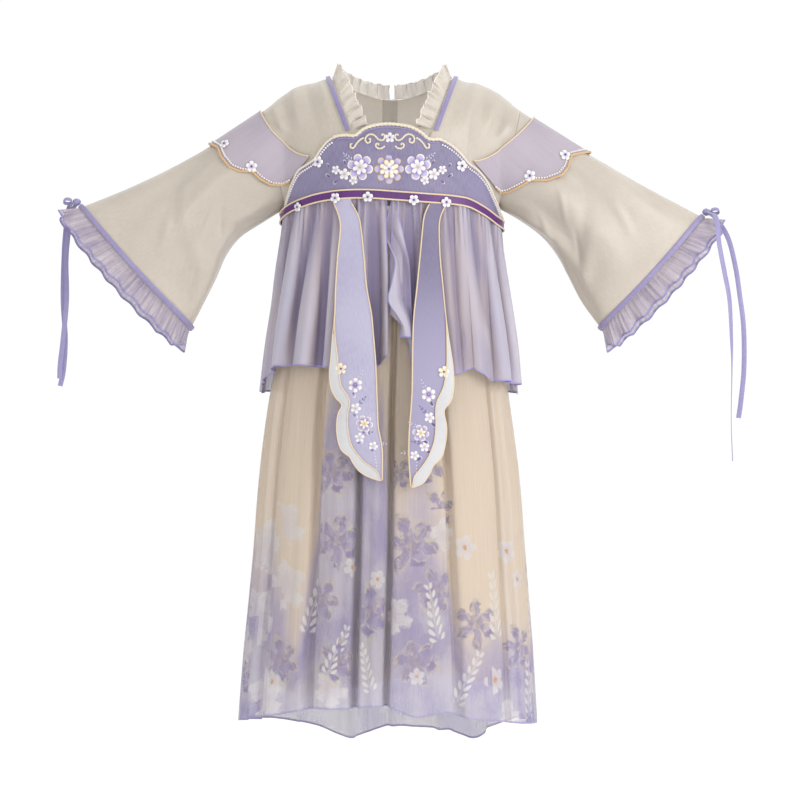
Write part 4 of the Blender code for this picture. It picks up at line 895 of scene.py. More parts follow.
# %% Collar ruffle
LEAN = table("part across back up", (0, 0.85, -0.10, 0.30), (0.25, 0.80, -0.15, 0.45),
             (0.48, 0.50, -0.05, 0.85), (0.60, 0.30, 0.10, 1.0), (1, 0.0, 0.22, 0.95))
for side, name in SIDES:
    part = np.linspace(0, 1, 361)
    in_front = part < 0.5
    z = COLLAR_START_Z + (shoulder_z(NECK_X) - COLLAR_START_Z) * part / 0.5
    turn = (part - 0.5) / 0.5
    x_back = COLLAR_BACK_GAP + (NECK_X - COLLAR_INSET - COLLAR_BACK_GAP) * np.cos(turn * math.pi / 2)
    z_back = shoulder_z(NECK_X) - NECK_BACK_DROP * (1 - (x_back / NECK_X) ** 2)
    x = np.where(in_front, neckline_x(z) - COLLAR_INSET, x_back)
    tuck = COLLAR_TUCK * np.maximum(0, 1 - part / 0.2)
    y = np.where(in_front, -blouse_depth(neckline_x(z), np.minimum(z, 0.0094)) + tuck,
                 blouse_depth(x_back, z_back) - WALL / 2)
    z = np.where(in_front, z, z_back + COLLAR_BACK_RISE)
    base = points_of(side * x, y, z + SEAM)
    way = points_of(*(smooth(LEAN, column, part, "part") for column in ("across", "back", "up")))
    way = way * (-side, 1, 1)
    height = unit(way) * COLLAR_HEIGHT
    run = unit(np.gradient(base, axis=0))
    out = unit(np.cross(run, height)) * side
    calm = 1 - 0.7 * np.exp(-((part - 0.55) / 0.06) ** 2)
    sway = calm * np.sin(2 * math.pi * COLLAR_WAVES * part + 0.8 * np.sin(9 * part))
    small = calm * np.sin(2 * math.pi * 31 * part + 2.2 * np.sin(7 * part + side))
    level, _ = grid_of(np.linspace(0, 1, 15), part)
    tiny = calm * np.sin(2 * math.pi * 57 * part + 3.5 * np.sin(11 * part))
    wave = 0.0050 * level ** 0.8 * sway + 0.0024 * level * (1.15 - 0.4 * level) * small
    wave = wave + 0.0010 * level * tiny
    reach = level * (1 + 0.10 * sway + 0.07 * small)
    shift = 0.0032 * np.cos(2 * math.pi * 15 * part + 2 * np.sin(8 * part)) + 0.0012 * small
    shift = calm * level * shift
    points = base + height * reach[..., None] + out * wave[..., None] + run * shift[..., None]
    hang(sew("collar_organza_" + name, points, collar_organza.material, thick=SHEER_THIN), points,
         ["collar_ruffle_" + name], "sheer_cream", ["blouse_front_cloth_" + name])

# %% [markdown]
# ## Bell sleeves
# A sleeve widens from the armhole to a slanting cuff line. The cloth is light, so it holds long shallow
# creases that run from the shoulder towards the cuff. They are placed one by one, uneven as on real cloth.

# %% Sleeves
def sleeve_ring(rows, at, angles, grow=0.0, push=0.0):
    """Rings round a sleeve for arrays of places and angles, with x away from the body."""
    top, under = sleeve_line(rows, at)
    middle, half = (top + under) / 2, np.linalg.norm(top - under, axis=-1) / 2
    rise = (top - under) / (2 * half)[..., None]
    share = (at / (len(rows["top_x"]) - 1)) ** 3
    c, s = np.cos(angles), np.sin(angles)
    ahead = share * (SLEEVE_BOW * (1 - c * c) - SLEEVE_TILT * s) + push
    x = middle[..., 0] + rise[..., 0] * (half + grow) * c + rise[..., 1] * ahead
    z = middle[..., 1] + rise[..., 1] * (half + grow) * c - rise[..., 0] * ahead
    return points_of(x, -(along(rows, "half_depth", at) + grow) * s, z)


SLEEVES = {-1: ("left", SLEEVE_LEFT, CAP_LEFT), 1: ("right", SLEEVE_RIGHT, CAP_RIGHT)}
# Shares across run from the sleeve's top over its front (0.25) to its underside (0.5) and its back.
SLEEVE_CREASES = {
    -1: table(CREASE, (0.10, 0.30, 0.16, 0.95, 0.014, -0.0030), (0.20, 0.10, 0.25, 0.80, 0.012, 0.0026),
              (0.30, 0.25, 0.33, 0.98, 0.015, -0.0034), (0.38, 0.05, 0.40, 0.70, 0.011, 0.0028),
              (0.45, 0.10, 0.36, 0.45, 0.009, -0.0026), (0.24, 0.60, 0.38, 0.75, 0.012, 0.0022),
              (0.25, 0.42, 0.31, 0.60, 0.0045, 0.0016), (0.30, 0.36, 0.38, 0.47, 0.0045, -0.0015),
              (0.20, 0.66, 0.27, 0.84, 0.0050, 0.0015), (0.36, 0.72, 0.40, 0.92, 0.0050, -0.0016),
              (0.14, 0.55, 0.22, 0.72, 0.010, -0.0020), (0.42, 0.55, 0.44, 0.98, 0.012, 0.0028),
              (0.60, 0.20, 0.62, 0.95, 0.014, -0.0034), (0.70, 0.10, 0.72, 0.75, 0.013, 0.0030),
              (0.80, 0.25, 0.82, 0.98, 0.014, -0.0032), (0.90, 0.20, 0.88, 0.90, 0.012, 0.0026)),
    1: table(CREASE, (0.08, 0.25, 0.13, 0.90, 0.013, 0.0026), (0.18, 0.15, 0.21, 0.85, 0.014, -0.0032),
             (0.27, 0.20, 0.30, 0.95, 0.013, 0.0028), (0.36, 0.10, 0.37, 0.80, 0.013, -0.0032),
             (0.45, 0.08, 0.40, 0.50, 0.009, 0.0026), (0.22, 0.45, 0.34, 0.62, 0.011, -0.0020),
             (0.24, 0.30, 0.33, 0.44, 0.0045, 0.0015), (0.32, 0.50, 0.38, 0.66, 0.0050, -0.0016),
             (0.17, 0.60, 0.22, 0.80, 0.0050, 0.0015), (0.38, 0.26, 0.43, 0.40, 0.0045, 0.0015),
             (0.30, 0.62, 0.42, 0.78, 0.012, 0.0022), (0.43, 0.55, 0.45, 0.98, 0.012, -0.0028),
             (0.58, 0.20, 0.60, 0.95, 0.014, 0.0032), (0.68, 0.12, 0.71, 0.80, 0.013, -0.0030),
             (0.79, 0.20, 0.80, 0.96, 0.015, 0.0034), (0.90, 0.25, 0.87, 0.90, 0.012, -0.0026))}
SLEEVE_PRESS = 1.7       # how much deeper than the table's the sleeves' creases are pressed
for side, (name, rows, cap) in SLEEVES.items():
    last = len(rows["top_x"]) - 1
    at, angle = grid_of(np.linspace(0, last, 84), np.linspace(0, 2 * math.pi, 160, endpoint=False))
    points = sleeve_ring(rows, at, angle, 0, np.where(at == 0, SEAM, 0)) * (side, 1, 1)
    pressed = crease(points, SLEEVE_CREASES[side], ring=True)
    ease = (np.clip(at / 1.2, 0, 1) * np.clip((last - at) / 0.5, 0, 1))[..., None]
    points = points + SLEEVE_PRESS * (pressed - points) * ease
    hang(sew("sleeve_satin_" + name, points, cream.material, ring=True), points, ["sleeve_" + name],
         "cream", rests_on=["blouse_front_cloth_" + name], ring=True)

# %% [markdown]
# ## Cuffs
# A lavender satin band covers the seam, and a ruffle of sheer organza is gathered on beyond it with a
# bound edge. The ruffle flares, because its free edge is longer than the cuff it is sewn to.

# %% Cuff bands and ruffles
def even_angles(half, depth, count):
    """Angles that part an ellipse into even lengths."""
    fine = np.linspace(0, 2 * math.pi, 721)
    steps = np.hypot(half * np.diff(np.cos(fine)), depth * np.diff(np.sin(fine)))
    length = np.concatenate(((0,), np.cumsum(steps)))
    return np.interp(np.arange(count) / count * length[-1], length, fine)


for side, (name, rows, cap) in SLEEVES.items():
    last = float(len(rows["top_x"]) - 1)
    angles = np.linspace(0, 2 * math.pi, 200, endpoint=False)
    step, angle = grid_of(np.linspace(0, 1, 9), angles)
    crown = 0.0007 * (1 - (2 * step - 1) ** 4) - 0.0004
    points = sleeve_ring(rows, np.full_like(step, last), angle, CUFF_BAND_OUT + crown,
                         CUFF_BAND_WIDTH * (step - 1)) * (side, 1, 1)
    hang(sew("cuff_satin_" + name, points, band_satin.material, ring=True, thick=0.0009), points,
         ["cuff_band_" + name], "band", ring=True)

    top, under = sleeve_line(rows, last)
    half, depth = np.linalg.norm(top - under) / 2, float(along(rows, "half_depth", last))
    rise = (top - under) / (2 * half)
    count = CUFF_WAVES * 28
    level, angle = grid_of(np.linspace(0, 1, 17), even_angles(half, depth, count))
    j = np.broadcast_to(np.arange(count), level.shape) / 7
    c, s = np.cos(angle), np.sin(angle)
    away = unit(points_of(rise[0] * c / half, -s / depth, rise[1] * c / half))
    phase = 2 * math.pi * j / 4 + 0.5 * np.sin(5 * angle)
    fine = np.sin(3.4 * phase + 1.9 * np.sin(3 * angle)) * level ** 0.5 * (1.25 - level) * 0.0026
    reach = CUFF_RUFFLE_DEPTH * level * (1 + 0.05 * np.sin(phase + 1) - 0.34 * np.exp(-(s / 0.22) ** 2))
    points = sleeve_ring(rows, np.full_like(level, last), angle, -0.0001, SEAM + reach)
    points = points + away * (CUFF_WAVE * level * np.sin(phase) + fine)[..., None]
    points = points + points_of(rise[0] * c, 0 * c, rise[1] * c) * (CUFF_FLARE * reach)[..., None]
    points = (points + points_of(0 * s, -s, 0 * s) * (CUFF_FLARE_SIDE * reach)[..., None]) * (side, 1, 1)
    hang(sew("cuff_organza_" + name, points, ruffle_organza.material, ring=True, thick=SHEER_THIN), points,
         ["cuff_ruffle_" + name], "ruffle", ["sleeve_satin_" + name], ring=True)

# %% [markdown]
# ## Shoulder caps
# A cap of organza over satin lies across each armhole, front and back, and ends in a scalloped edge.

# %% Shoulder caps
CROWN_STEP = 0.3         # between this step on the front and on the back the cloth arches over the crown


def under_cap(side):
    """A place inside the armhole, from which a cap's outer face looks away."""
    return side * 0.18, 0, -0.13


def cap_place(side, rows, cap, part, step):
    """Points of a cap and their outward directions; step is negative on the back."""
    def on_row(axis, at):
        return (straight_row(cap, "seam_" + axis, at) * (1 - part)
                + straight_row(cap, "edge_" + axis, at) * part)
    ahead = np.maximum(np.abs(step), CROWN_STEP)
    arch = np.minimum(np.abs(step) / CROWN_STEP, 1)
    x, z = on_row("x", ahead), on_row("z", ahead)
    y = -np.sign(step) * arch * arm_depth(rows, x, z)
    crown = 0 * step
    x, z = (on_row(axis, crown) * (1 - arch ** 2) + low * arch ** 2 for axis, low in (("x", x), ("z", z)))
    points = points_of(side * x, y, z)
    return points, normals(points, inside=under_cap(side))[0]


cap_steps = np.linspace(-1, 1, 181)
cap_steps = np.sign(cap_steps) * np.abs(cap_steps) ** 1.8 * 9
cap_grids = {}
for side, (name, rows, cap) in SLEEVES.items():
    part, step = grid_of(np.linspace(0, 1, 30), cap_steps)
    points, out = cap_place(side, rows, cap, part, step)
    sag = 0.0006 * np.sin(step * 1.9 + 3 * part) * part * np.clip(np.abs(step) / 1.5, 0, 1)
    points = points + out * (CAP_LIE + WALL + np.maximum(sag, -0.0002))[..., None]
    cap_grids[side] = (points, out)
    hang(sew("shoulder_cap_organza_" + name, points, cap_organza.material, inside=under_cap(side)),
         points, ["shoulder_cap_" + name], "cap",
         ["sleeve_satin_" + name, "blouse_front_cloth_" + name])

# %% [markdown]
# ## Chest panel, back band and belt
# The stiff embroidered panel has a lobed top edge. A plain band in the same satin carries it round the
# back, and a deep purple belt covers the waist seam.

# %% Chest panel
def belt_z(degrees):
    return smooth(BELT_LINE, "z", degrees, "degrees")


def on_chest(x, z, lift=0.0):
    """Places on the chest panel's face, with their outward directions."""
    return laid(blouse_depth, x, z, LIE + WALL + lift)


part, degrees = grid_of(np.linspace(0, 1, 30), np.linspace(-89.8, 89.8, 220))
z = chest_top_z(degrees) * (1 - part) + belt_z(degrees) * part
x = CHEST_HALF_WIDTH * np.sin(np.radians(degrees))
points = points_of(x, -blouse_depth(x, z), z)
swell = 0.0004 * np.sin(degrees * 0.11 + 1) * np.sin(part * math.pi)
points = points + normals(points)[0] * (LIE + WALL + np.maximum(swell, 0))[..., None]
chest_cloth = sew("chest_panel_satin", points, chest_satin.material)
hang(chest_cloth, points, ["chest_panel"], "chest",
     ["blouse_front_cloth_left", "blouse_front_cloth_right"])

# %% Band across the back
turns = np.linspace(-89.8, 89.8, 160)
part, turn = grid_of(np.linspace(0, 1, 22), turns)
rise = BAND_BACK_RISE * np.clip((71 - np.abs(turn)) / 33, 0, 1) + BAND_SIDE_HEIGHT
z = belt_z(np.copysign(180, turn) - turn) + rise * (1 - part)
x = CHEST_HALF_WIDTH * np.sin(np.radians(turn))
points = points_of(x, blouse_depth(x, z), z)
points = points + normals(points)[0] * (LIE + WALL)
hang(sew("chest_back_satin", points, chest_satin.material), points, ["chest_back"], "chest",
     ["blouse_back_cloth"])

# %% Belt
half = BELT_HEIGHT / 2
rise, degrees = grid_of(np.linspace(half, -half, 9), np.linspace(-180, 180, 240, endpoint=False))
x, y = ellipse_point(degrees, CHEST_HALF_WIDTH, CHEST_HALF_DEPTH, 0, BELT_START + BELT_THICK)
points = points_of(x, y, belt_z(degrees) + rise)
belt = sew("waist_belt_satin", points, belt_satin.material, ring=True, thick=0.0010)
hang(belt, points, ["waist_belt"], "belt",
     ["chest_panel_satin", "chest_back_satin"], ring=True)

# %% [markdown]
# ## Peplum
# The peplum is a short overskirt of sheer organza, gathered tightly under the belt and open at the
# front, where one half falls away in a cascade. The gathers are tight at the top and open into waves.

# %% Peplum
def streamer_y(x, z):
    """The curved face on which the streamers lie, in front of the peplum."""
    width, depth = smooth(STREAMER_LIE, "half_width", z, "z"), smooth(STREAMER_LIE, "half_depth", z, "z")
    return -depth * np.sqrt(1 - (x / width) ** 2)


def peplum_size(drop):
    return [smooth(PEPLUM, column, drop, "drop") for column in PEPLUM if column != "drop"]


def peplum_wave(phase):
    return np.sin(phase) + 0.25 * np.sin(2 * phase + 1)


def gathers(degrees, level, many):
    """Narrow pleats that start at the belt and fade down the cloth."""
    turn = np.radians(degrees)
    fade = np.clip(level / 0.04, 0, 1) * np.exp(-(level / (0.15 + 0.07 * np.sin(13 * turn))) ** 2)
    return fade * 0.0017 * np.sin(many * turn + 3 * np.sin(7 * turn) + 1.5 * np.sin(19 * turn))


def sew_flounce(name, points, base, drop):
    """Keeps a piece of the peplum between the skirt and the streamers, sews it, and notes how far
    each place stands out of its plain form."""
    out = normals(base)[0]
    stands = np.sum((points - base) * out, axis=2)
    held = (np.abs(base[..., 0]) < 0.088) & (base[..., 1] < 0)
    limit = np.where(held, 0.0022 + 0.045 * drop, 0.0040 + 0.065 * drop)
    kept = np.clip(stands, -0.0013 - 0.055 * drop, limit)
    points = points + out * (kept - stands)[..., None]
    piece = sew(name, points, peplum_organza.material, thick=SHEER_THIN)
    # The finish paints shade into the hollows and a highlight onto the ridges from this number.
    number_points(piece, "fold", np.tile(np.tanh(kept / (0.0045 + 0.028 * drop)).ravel(), 2))
    return piece


# Shares across run from the side seam to the front edge. Under the streamers there are hollows only.
PEPLUM_FOLDS = {
    -1: table(CREASE, (0.20, 0.02, 0.10, 1.4, 0.011, 0.0050), (0.30, 0.00, 0.20, 0.75, 0.008, -0.0060),
              (0.40, 0.05, 0.33, 1.4, 0.017, 0.0075), (0.52, 0.00, 0.42, 0.90, 0.008, -0.0070),
              (0.60, 0.30, 0.52, 1.4, 0.012, 0.0070), (0.64, 0.00, 0.63, 1.4, 0.007, -0.0080),
              (0.78, 0.10, 0.76, 1.4, 0.010, -0.0050), (0.91, 0.00, 0.94, 1.4, 0.007, -0.0065)),
    1: table(CREASE, (0.20, 0.00, 0.08, 1.4, 0.012, 0.0060), (0.30, 0.02, 0.19, 0.95, 0.007, -0.0060),
             (0.36, 0.10, 0.31, 1.4, 0.016, 0.0072), (0.48, 0.00, 0.44, 0.70, 0.008, -0.0060),
             (0.56, 0.05, 0.52, 1.4, 0.013, 0.0070), (0.63, 0.00, 0.62, 1.4, 0.007, -0.0075),
             (0.77, 0.00, 0.78, 1.4, 0.009, -0.0060), (0.90, 0.00, 0.87, 1.4, 0.007, -0.0060))}
BACK_PEPLUM_FOLDS = table(
    CREASE, (0.06, 0.00, 0.05, 1.4, 0.010, 0.0060), (0.14, 0.00, 0.12, 1.4, 0.009, -0.0070),
    (0.22, 0.02, 0.21, 1.4, 0.011, 0.0075), (0.31, 0.00, 0.30, 1.4, 0.009, -0.0080),
    (0.38, 0.00, 0.39, 1.4, 0.011, 0.0070), (0.46, 0.00, 0.47, 1.4, 0.008, -0.0070),
    (0.55, 0.02, 0.56, 1.4, 0.011, 0.0075), (0.63, 0.00, 0.65, 1.4, 0.009, -0.0080),
    (0.72, 0.00, 0.74, 1.4, 0.010, 0.0070), (0.81, 0.00, 0.83, 1.4, 0.009, -0.0070),
    (0.91, 0.00, 0.93, 1.4, 0.010, 0.0065))
seam = math.degrees(0.35 * SEAM / CHEST_HALF_DEPTH) + 0.15
levels = np.linspace(0, 1, 44) ** 1.15
for side, name, edge in ((-1, "left", PEPLUM_EDGE_LEFT), (1, "right", PEPLUM_EDGE_RIGHT)):
    level, part = grid_of(levels, np.linspace(0, 1, 210))
    top = belt_z(side * 90.0) - PEPLUM_TOP_DROP + 0 * part
    z = top
    for _ in range(6):
        width, depth, centre, wave = peplum_size(top - z)
        opened = side * 0.0026 * np.exp(-((z + 0.19) / 0.05) ** 2)
        inner = np.degrees(np.arcsin((np.interp(z, edge["z"], edge["x"]) + opened - centre) / width))
        straight = np.degrees(np.arcsin((edge["x"][-1] - centre) / width))
        degrees = side * (90 - seam) * (1 - part) + straight * part + (inner - straight) * part ** 6
        x = centre + width * np.sin(np.radians(degrees))
        top = belt_z(degrees) - PEPLUM_TOP_DROP
        z = top + (np.interp(x, PEPLUM_HEM["x"], PEPLUM_HEM["z"]) - top) * level
    phase = 2 * math.pi * FRONT_WAVES * part + 0.7 * np.sin(5 * part) + side
    swell = 0.72 + 0.25 * np.sin(4.3 * part + 2 * side)
    move = swell * wave * peplum_wave(phase + 0.5 * level * np.sin(3 * part + 2)) / 1.2
    move += gathers(degrees, level, 95)
    x, y = ellipse_point(degrees, width, depth, centre, move * np.minimum(1, part * 8))
    base = points_of(*ellipse_point(degrees, width, depth, centre, 0), z)
    points = crease(points_of(x, y, z), PEPLUM_FOLDS[side])
    hang(sew_flounce("peplum_organza_" + name, points, base, top - z), points,
         ["peplum_front_" + name], "peplum", ["waist_belt_satin"])

level, part = grid_of(levels, np.linspace(0, 1, 340))
degrees = 90 + seam + (180 - 2 * seam) * part
top = belt_z((degrees + 180) % 360 - 180) - PEPLUM_TOP_DROP
z = top + (PEPLUM_BACK_HEM_Z + 0.004 * np.sin(9 * part) - top) * level
width, depth, centre, wave = peplum_size(top - z)
phase = 2 * math.pi * BACK_WAVES * part + 0.8 * np.sin(7 * part)
move = 0.95 * wave * peplum_wave(phase) / 1.2 + gathers(degrees, level, 95)
x, y = ellipse_point(degrees, width, depth, centre, move * np.minimum(1, np.minimum(part, 1 - part) * 10))
base = points_of(*ellipse_point(degrees, width, depth, centre, 0), z)
points = crease(points_of(x, y, z), BACK_PEPLUM_FOLDS)
hang(sew_flounce("peplum_organza_back", points, base, top - z), points,
     ["peplum_back"], "peplum", ["waist_belt_satin"])

# %% [markdown]
# The right half's front edge turns over and falls in a narrow cascade. It is a strip of the same organza
# whose bound edge swings from side to side as it comes down.

# %% Cascade
CASCADE_STAND = 0.0045   # how far its form lies behind the streamers' face
CASCADE = table(
    "z inner outer stand", (-0.1650, 0.0060, -0.0010, 0.003), (-0.1850, 0.0100, -0.0060, 0.006),
    (-0.2050, 0.0150, -0.0115, 0.008), (-0.2250, 0.0190, -0.0030, 0.009), (-0.2450, 0.0230, 0.0040, 0.009),
    (-0.2700, 0.0245, 0.0000, 0.010), (-0.2950, 0.0255, -0.0050, 0.010), (-0.3150, 0.0262, 0.0060, 0.010),
    (-0.3300, 0.0265, 0.0120, 0.009), (-0.3440, 0.0268, 0.0090, 0.007))
at, part = grid_of(np.linspace(0, len(CASCADE["z"]) - 1, 90), np.linspace(0, 1, 25))
z, inner, outer, stand = (along(CASCADE, column, at) for column in ("z", "inner", "outer", "stand"))
x = inner + (outer - inner) * part
behind = streamer_y(x, z) + CASCADE_STAND
sway = 0.35 + 0.65 * np.sin(part * 4.2 + 0.7 * at)
points = points_of(x, behind - stand * sway * np.minimum(1, at / 2), z)
base = points_of(x, behind, z)
cascade = sew_flounce("peplum_organza_cascade", points, base, np.full(z.shape, 0.1))
carry(cascade, "peplum")

# %% [markdown]
# ## Streamers
# Two satin streamers hang from the belt over the peplum. Each widens to a scalloped end, where a pale
# border runs along the outer edge.

# %% Streamers
def on_streamer(x, z, lift=0.0):
    return laid(lambda a, b: -streamer_y(a, b), x, z, lift)


def streamer_row(rows, at):
    return [along(rows, column, at) for column in ("z", "outer", "inner", "border")]


for side, name, rows in STREAMERS:
    last = len(rows["z"]) - 1
    at, part = grid_of(np.linspace(0, last, 150), np.linspace(0, 1, 21))
    z, outer, inner, border = streamer_row(rows, at)
    x = outer + (inner - outer) * part
    z = np.where(at < 1e-6, belt_z(body_degrees(x)) - BELT_HEIGHT / 2 - SEAM, z)
    points = points_of(x, streamer_y(x, z), z)
    # The right streamer takes the copy of its satin with painted shade.
    satin_here = streamer_satin if name == "left" else painted_shade_streamer_satin
    streamer = sew("streamer_satin_" + name, points, satin_here.material)
    hang(streamer, points, ["streamer_" + name], "streamer", ["waist_belt_satin"])

    start = int(np.argmax(rows["border"] != rows["outer"]))
    at, part = grid_of(np.linspace(start, last, 110), np.linspace(0.03, 1, 9))
    z, outer, inner, border = streamer_row(rows, at)
    x = outer + (border - outer) * part
    points = points_of(x, streamer_y(x, z), z)
    points = points + normals(points)[0] * (0.0009 + 0.0005 * np.sin(part * math.pi))[..., None]
    edging = sew("streamer_border_satin_" + name, points, border_satin.material)
    hang(edging, points, ["streamer_border_" + name], "border", ["streamer_satin_" + name])

# %% [markdown]
# ## Skirt and lining
# The outer skirt is sheer chiffon with a fine upright crinkle. It falls in fifteen deep uneven folds
# that open towards the hem, over a plain lining that shows through a little.

# %% Skirt
def fold_growth(z):
    part = np.clip((FOLD_START_Z - z) / (FOLD_START_Z - FOLD_FULL_Z), 0, 1)
    return part * part * (3 - 2 * part)


def skirt_columns():
    """Places round the skirt: waist angle, hem angle, inward depth and swell."""
    folds = list(zip(*(SKIRT_FOLDS[c] for c in ("waist", "hem", "half_width", "depth"))))
    spans = []
    for waist, hem, half_width, depth in folds:
        turn = math.radians(hem)
        spans.append(math.degrees(half_width / math.hypot(SKIRT["half_width"][0] * math.cos(turn),
                                                          SKIRT["half_depth"][0] * math.sin(turn))))
    columns = []
    for k, (waist, hem, half_width, depth) in enumerate(folds):
        for place, part in ((-1, 0), (-0.5, 0.62), (0, 1), (0.5, 0.62), (1, 0)):
            columns.append((waist + place * spans[k], hem + place * spans[k], depth * part, 0))
        after = (k + 1) % len(folds)
        lap = 360 if after == 0 else 0
        for part, swell in ((0.3, 0.85), (0.7, 1.0)):
            ends = [(waist + spans[k], folds[after][0] + lap - spans[after]),
                    (hem + spans[k], folds[after][1] + lap - spans[after])]
            columns.append(tuple(a * (1 - part) + b * part for a, b in ends) + (0, swell))
    return np.array(columns, float)


def finer(columns, times):
    """A closed loop of rows with more rows between, on smooth curves."""
    n = len(columns)
    at = np.arange(n * times) / times
    i, t = np.floor(at).astype(int), (at % 1)[:, None]
    lap = np.array((360.0, 360.0, 0, 0))
    before, here, after, beyond = (columns[(i + k) % n] + lap * ((i + k) // n)[:, None]
                                   for k in (-1, 0, 1, 2))
    return 0.5 * (2 * here + (after - before) * t + (2 * before - 5 * here + 4 * after - beyond) * t ** 2
                  + (3 * here - before - 3 * after + beyond) * t ** 3)


waist, hem, depth, swell = finer(skirt_columns(), 4).T
part, waist = grid_of(np.linspace(0, 1, 76), waist)
degrees = waist + (hem - waist) * part
hem_z = smooth(SKIRT_HEM, "z", (degrees + 180) % 360 - 180, "degrees")
z = SKIRT_TOP_Z + (hem_z - SKIRT_TOP_Z) * part
width, half_depth, centre = (smooth(SKIRT, c, z, "z") for c in ("half_width", "half_depth", "centre_x"))
turn = np.radians(degrees)
ripple = (0.0011 * np.sin(37 * turn + 2.5 * np.sin(5 * turn))
          + 0.0007 * np.sin(83 * turn + 3 * np.sin(11 * turn)))
move = fold_growth(z) * (PANEL_SWELL * swell - depth + ripple * (0.4 + part))
x, y = ellipse_point(degrees, width, half_depth, centre, move)
skirt_points, skirt_depth = points_of(x, y, z), depth + 0 * z
skirt_degrees = (degrees + 180) % 360 - 180
print("skirt", skirt_points.shape)

# %% Lining
part, degrees = grid_of(np.linspace(0, 1, 40), np.linspace(-180, 180, 180, endpoint=False))
low = LINING_HEM_Z + LINING_SWAY * np.sin(np.radians(3 * degrees) + 0.6)
z = SKIRT_TOP_Z + (low - SKIRT_TOP_Z) * part
width, half_depth, centre, inset = (smooth(SKIRT, c, z, "z")
                                    for c in ("half_width", "half_depth", "centre_x", "lining_inset"))
turn = np.radians(degrees)
fall = -inset - 0.002 * part * (1 + np.sin(9 * turn + 2 * np.sin(4 * turn)))
x, y = ellipse_point(degrees, width, half_depth, centre, fall)
points = points_of(x, y, z)
hang(sew("lining_cloth", points, lining_cloth.material, ring=True), points, ["lining"], "lining",
     ["waist_belt_satin"], ring=True)

# %% [markdown]
# ## The skirt's dye and print
# The chiffon is dyed from cream to lavender, with an uneven line that sits higher on the middle panels.
# Over it flowers are printed: violet irises with ochre edges, white blossoms, leaf sprays and faint
# clouds of petals. Each motif gets its own small map on the cloth, so the print runs into the folds as
# the cloth does, and the shader draws its petals from the map's two numbers.

# %% The dye line
DYE_LINE = table(
    "degrees z soft", (-180, -0.62, 0.16), (-150, -0.66, 0.14), (-120, -0.60, 0.16), (-95, -0.66, 0.15),
    (-70, -0.67, 0.16), (-48, -0.68, 0.16), (-36, -0.70, 0.14), (-31, -0.50, 0.16), (-17, -0.46, 0.16),
    (-12, -0.50, 0.16), (-3, -0.48, 0.20), (2, -0.60, 0.20), (12, -0.56, 0.24), (22, -0.62, 0.20),
    (30, -0.74, 0.12), (48, -0.745, 0.10), (66, -0.765, 0.10), (90, -0.74, 0.12), (120, -0.64, 0.16),
    (150, -0.60, 0.18), (180, -0.62, 0.16))
line, soft = (smooth(DYE_LINE, column, skirt_degrees, "degrees") for column in ("z", "soft"))
dye = np.clip((line - skirt_points[..., 2]) / soft + 0.5, 0, 1)
# Painted shade for the skirt: how deep each place lies in a fold, times a share that is given for each
# fold.
FOLD_SHADE = table(
    "degrees share", (-180, 0.5), (-120, 0.4), (-61, 0.35), (-48, 0.3), (-35, 0.55), (-25, 0.5), (-13, 1.0),
    (-6, 0.6), (1, 1.0), (12, 0.5), (27, 0.5), (55, 0.35), (90, 0.35), (140, 0.5), (180, 0.5))
hollow = fold_growth(skirt_points[..., 2]) * np.clip(skirt_depth / 0.012, 0, 1) ** 1.5
hollow = hollow * smooth(FOLD_SHADE, "share", skirt_degrees, "degrees")
print("dyed share", round(float(dye.mean()), 2))

# %% Printed motifs
MOTIFS = {
    "iris": table("degrees z size turn",
                  (-24, -0.520, 0.036, 10), (-21, -0.610, 0.044, -24), (-28, -0.690, 0.034, 60),
                  (15, -0.505, 0.040, 28), (24, -0.565, 0.034, -14), (9, -0.612, 0.048, 8),
                  (20, -0.672, 0.036, 70), (-7, -0.705, 0.042, 32), (37, -0.716, 0.040, -30),
                  (-46, -0.766, 0.036, 18), (63, -0.752, 0.036, 12), (-76, -0.800, 0.034, -20),
                  (-20, -0.770, 0.034, 40), (12, -0.770, 0.036, -50), (5, -0.525, 0.026, 0),
                  (100, -0.660, 0.030, 15), (124, -0.748, 0.032, -25), (150, -0.590, 0.028, 40),
                  (164, -0.700, 0.033, 5), (-170, -0.622, 0.029, -35), (-150, -0.742, 0.032, 22),
                  (-124, -0.650, 0.030, -10), (-104, -0.765, 0.028, 35)),
    "blossom": table("degrees z size turn",
                     (33, -0.618, 0.019, 0), (60, -0.630, 0.018, 20), (66, -0.664, 0.015, -10),
                     (46, -0.792, 0.021, 30), (-15, -0.640, 0.015, 12), (-50, -0.800, 0.018, 40),
                     (78, -0.800, 0.018, 15), (-4, -0.655, 0.014, 5), (112, -0.700, 0.020, 0),
                     (140, -0.660, 0.019, 30), (172, -0.780, 0.021, 10), (-160, -0.680, 0.019, 25),
                     (-136, -0.790, 0.020, -15), (-112, -0.700, 0.018, 0), (10, -0.786, 0.013, 50)),
    "spray": table("degrees z size turn",
                   (-33, -0.690, 0.042, 4), (17, -0.700, 0.038, -20), (47, -0.690, 0.044, -14),
                   (33, -0.790, 0.040, 22), (69, -0.812, 0.038, -8), (-20, -0.745, 0.034, 12),
                   (-8, -0.770, 0.032, -26), (88, -0.700, 0.042, 16), (133, -0.800, 0.042, 10),
                   (157, -0.780, 0.040, -12), (-178, -0.700, 0.044, 6), (-142, -0.660, 0.042, -16),
                   (-116, -0.800, 0.040, 10), (-92, -0.720, 0.040, -6)),
    "cloud": table("degrees z size turn",
                   (-50, -0.590, 0.040, 20), (-64, -0.624, 0.044, -10), (-46, -0.668, 0.038, 40),
                   (-66, -0.712, 0.046, 15), (-56, -0.812, 0.046, -30), (-80, -0.752, 0.038, 0),
                   (2, -0.700, 0.030, 25), (-22, -0.800, 0.028, 10), (24, -0.600, 0.028, -20),
                   (54, -0.845, 0.026, 5), (105, -0.600, 0.036, 20), (147, -0.730, 0.038, -15),
                   (178, -0.640, 0.036, 30), (-128, -0.740, 0.038, 10), (-108, -0.600, 0.036, -25)),
}


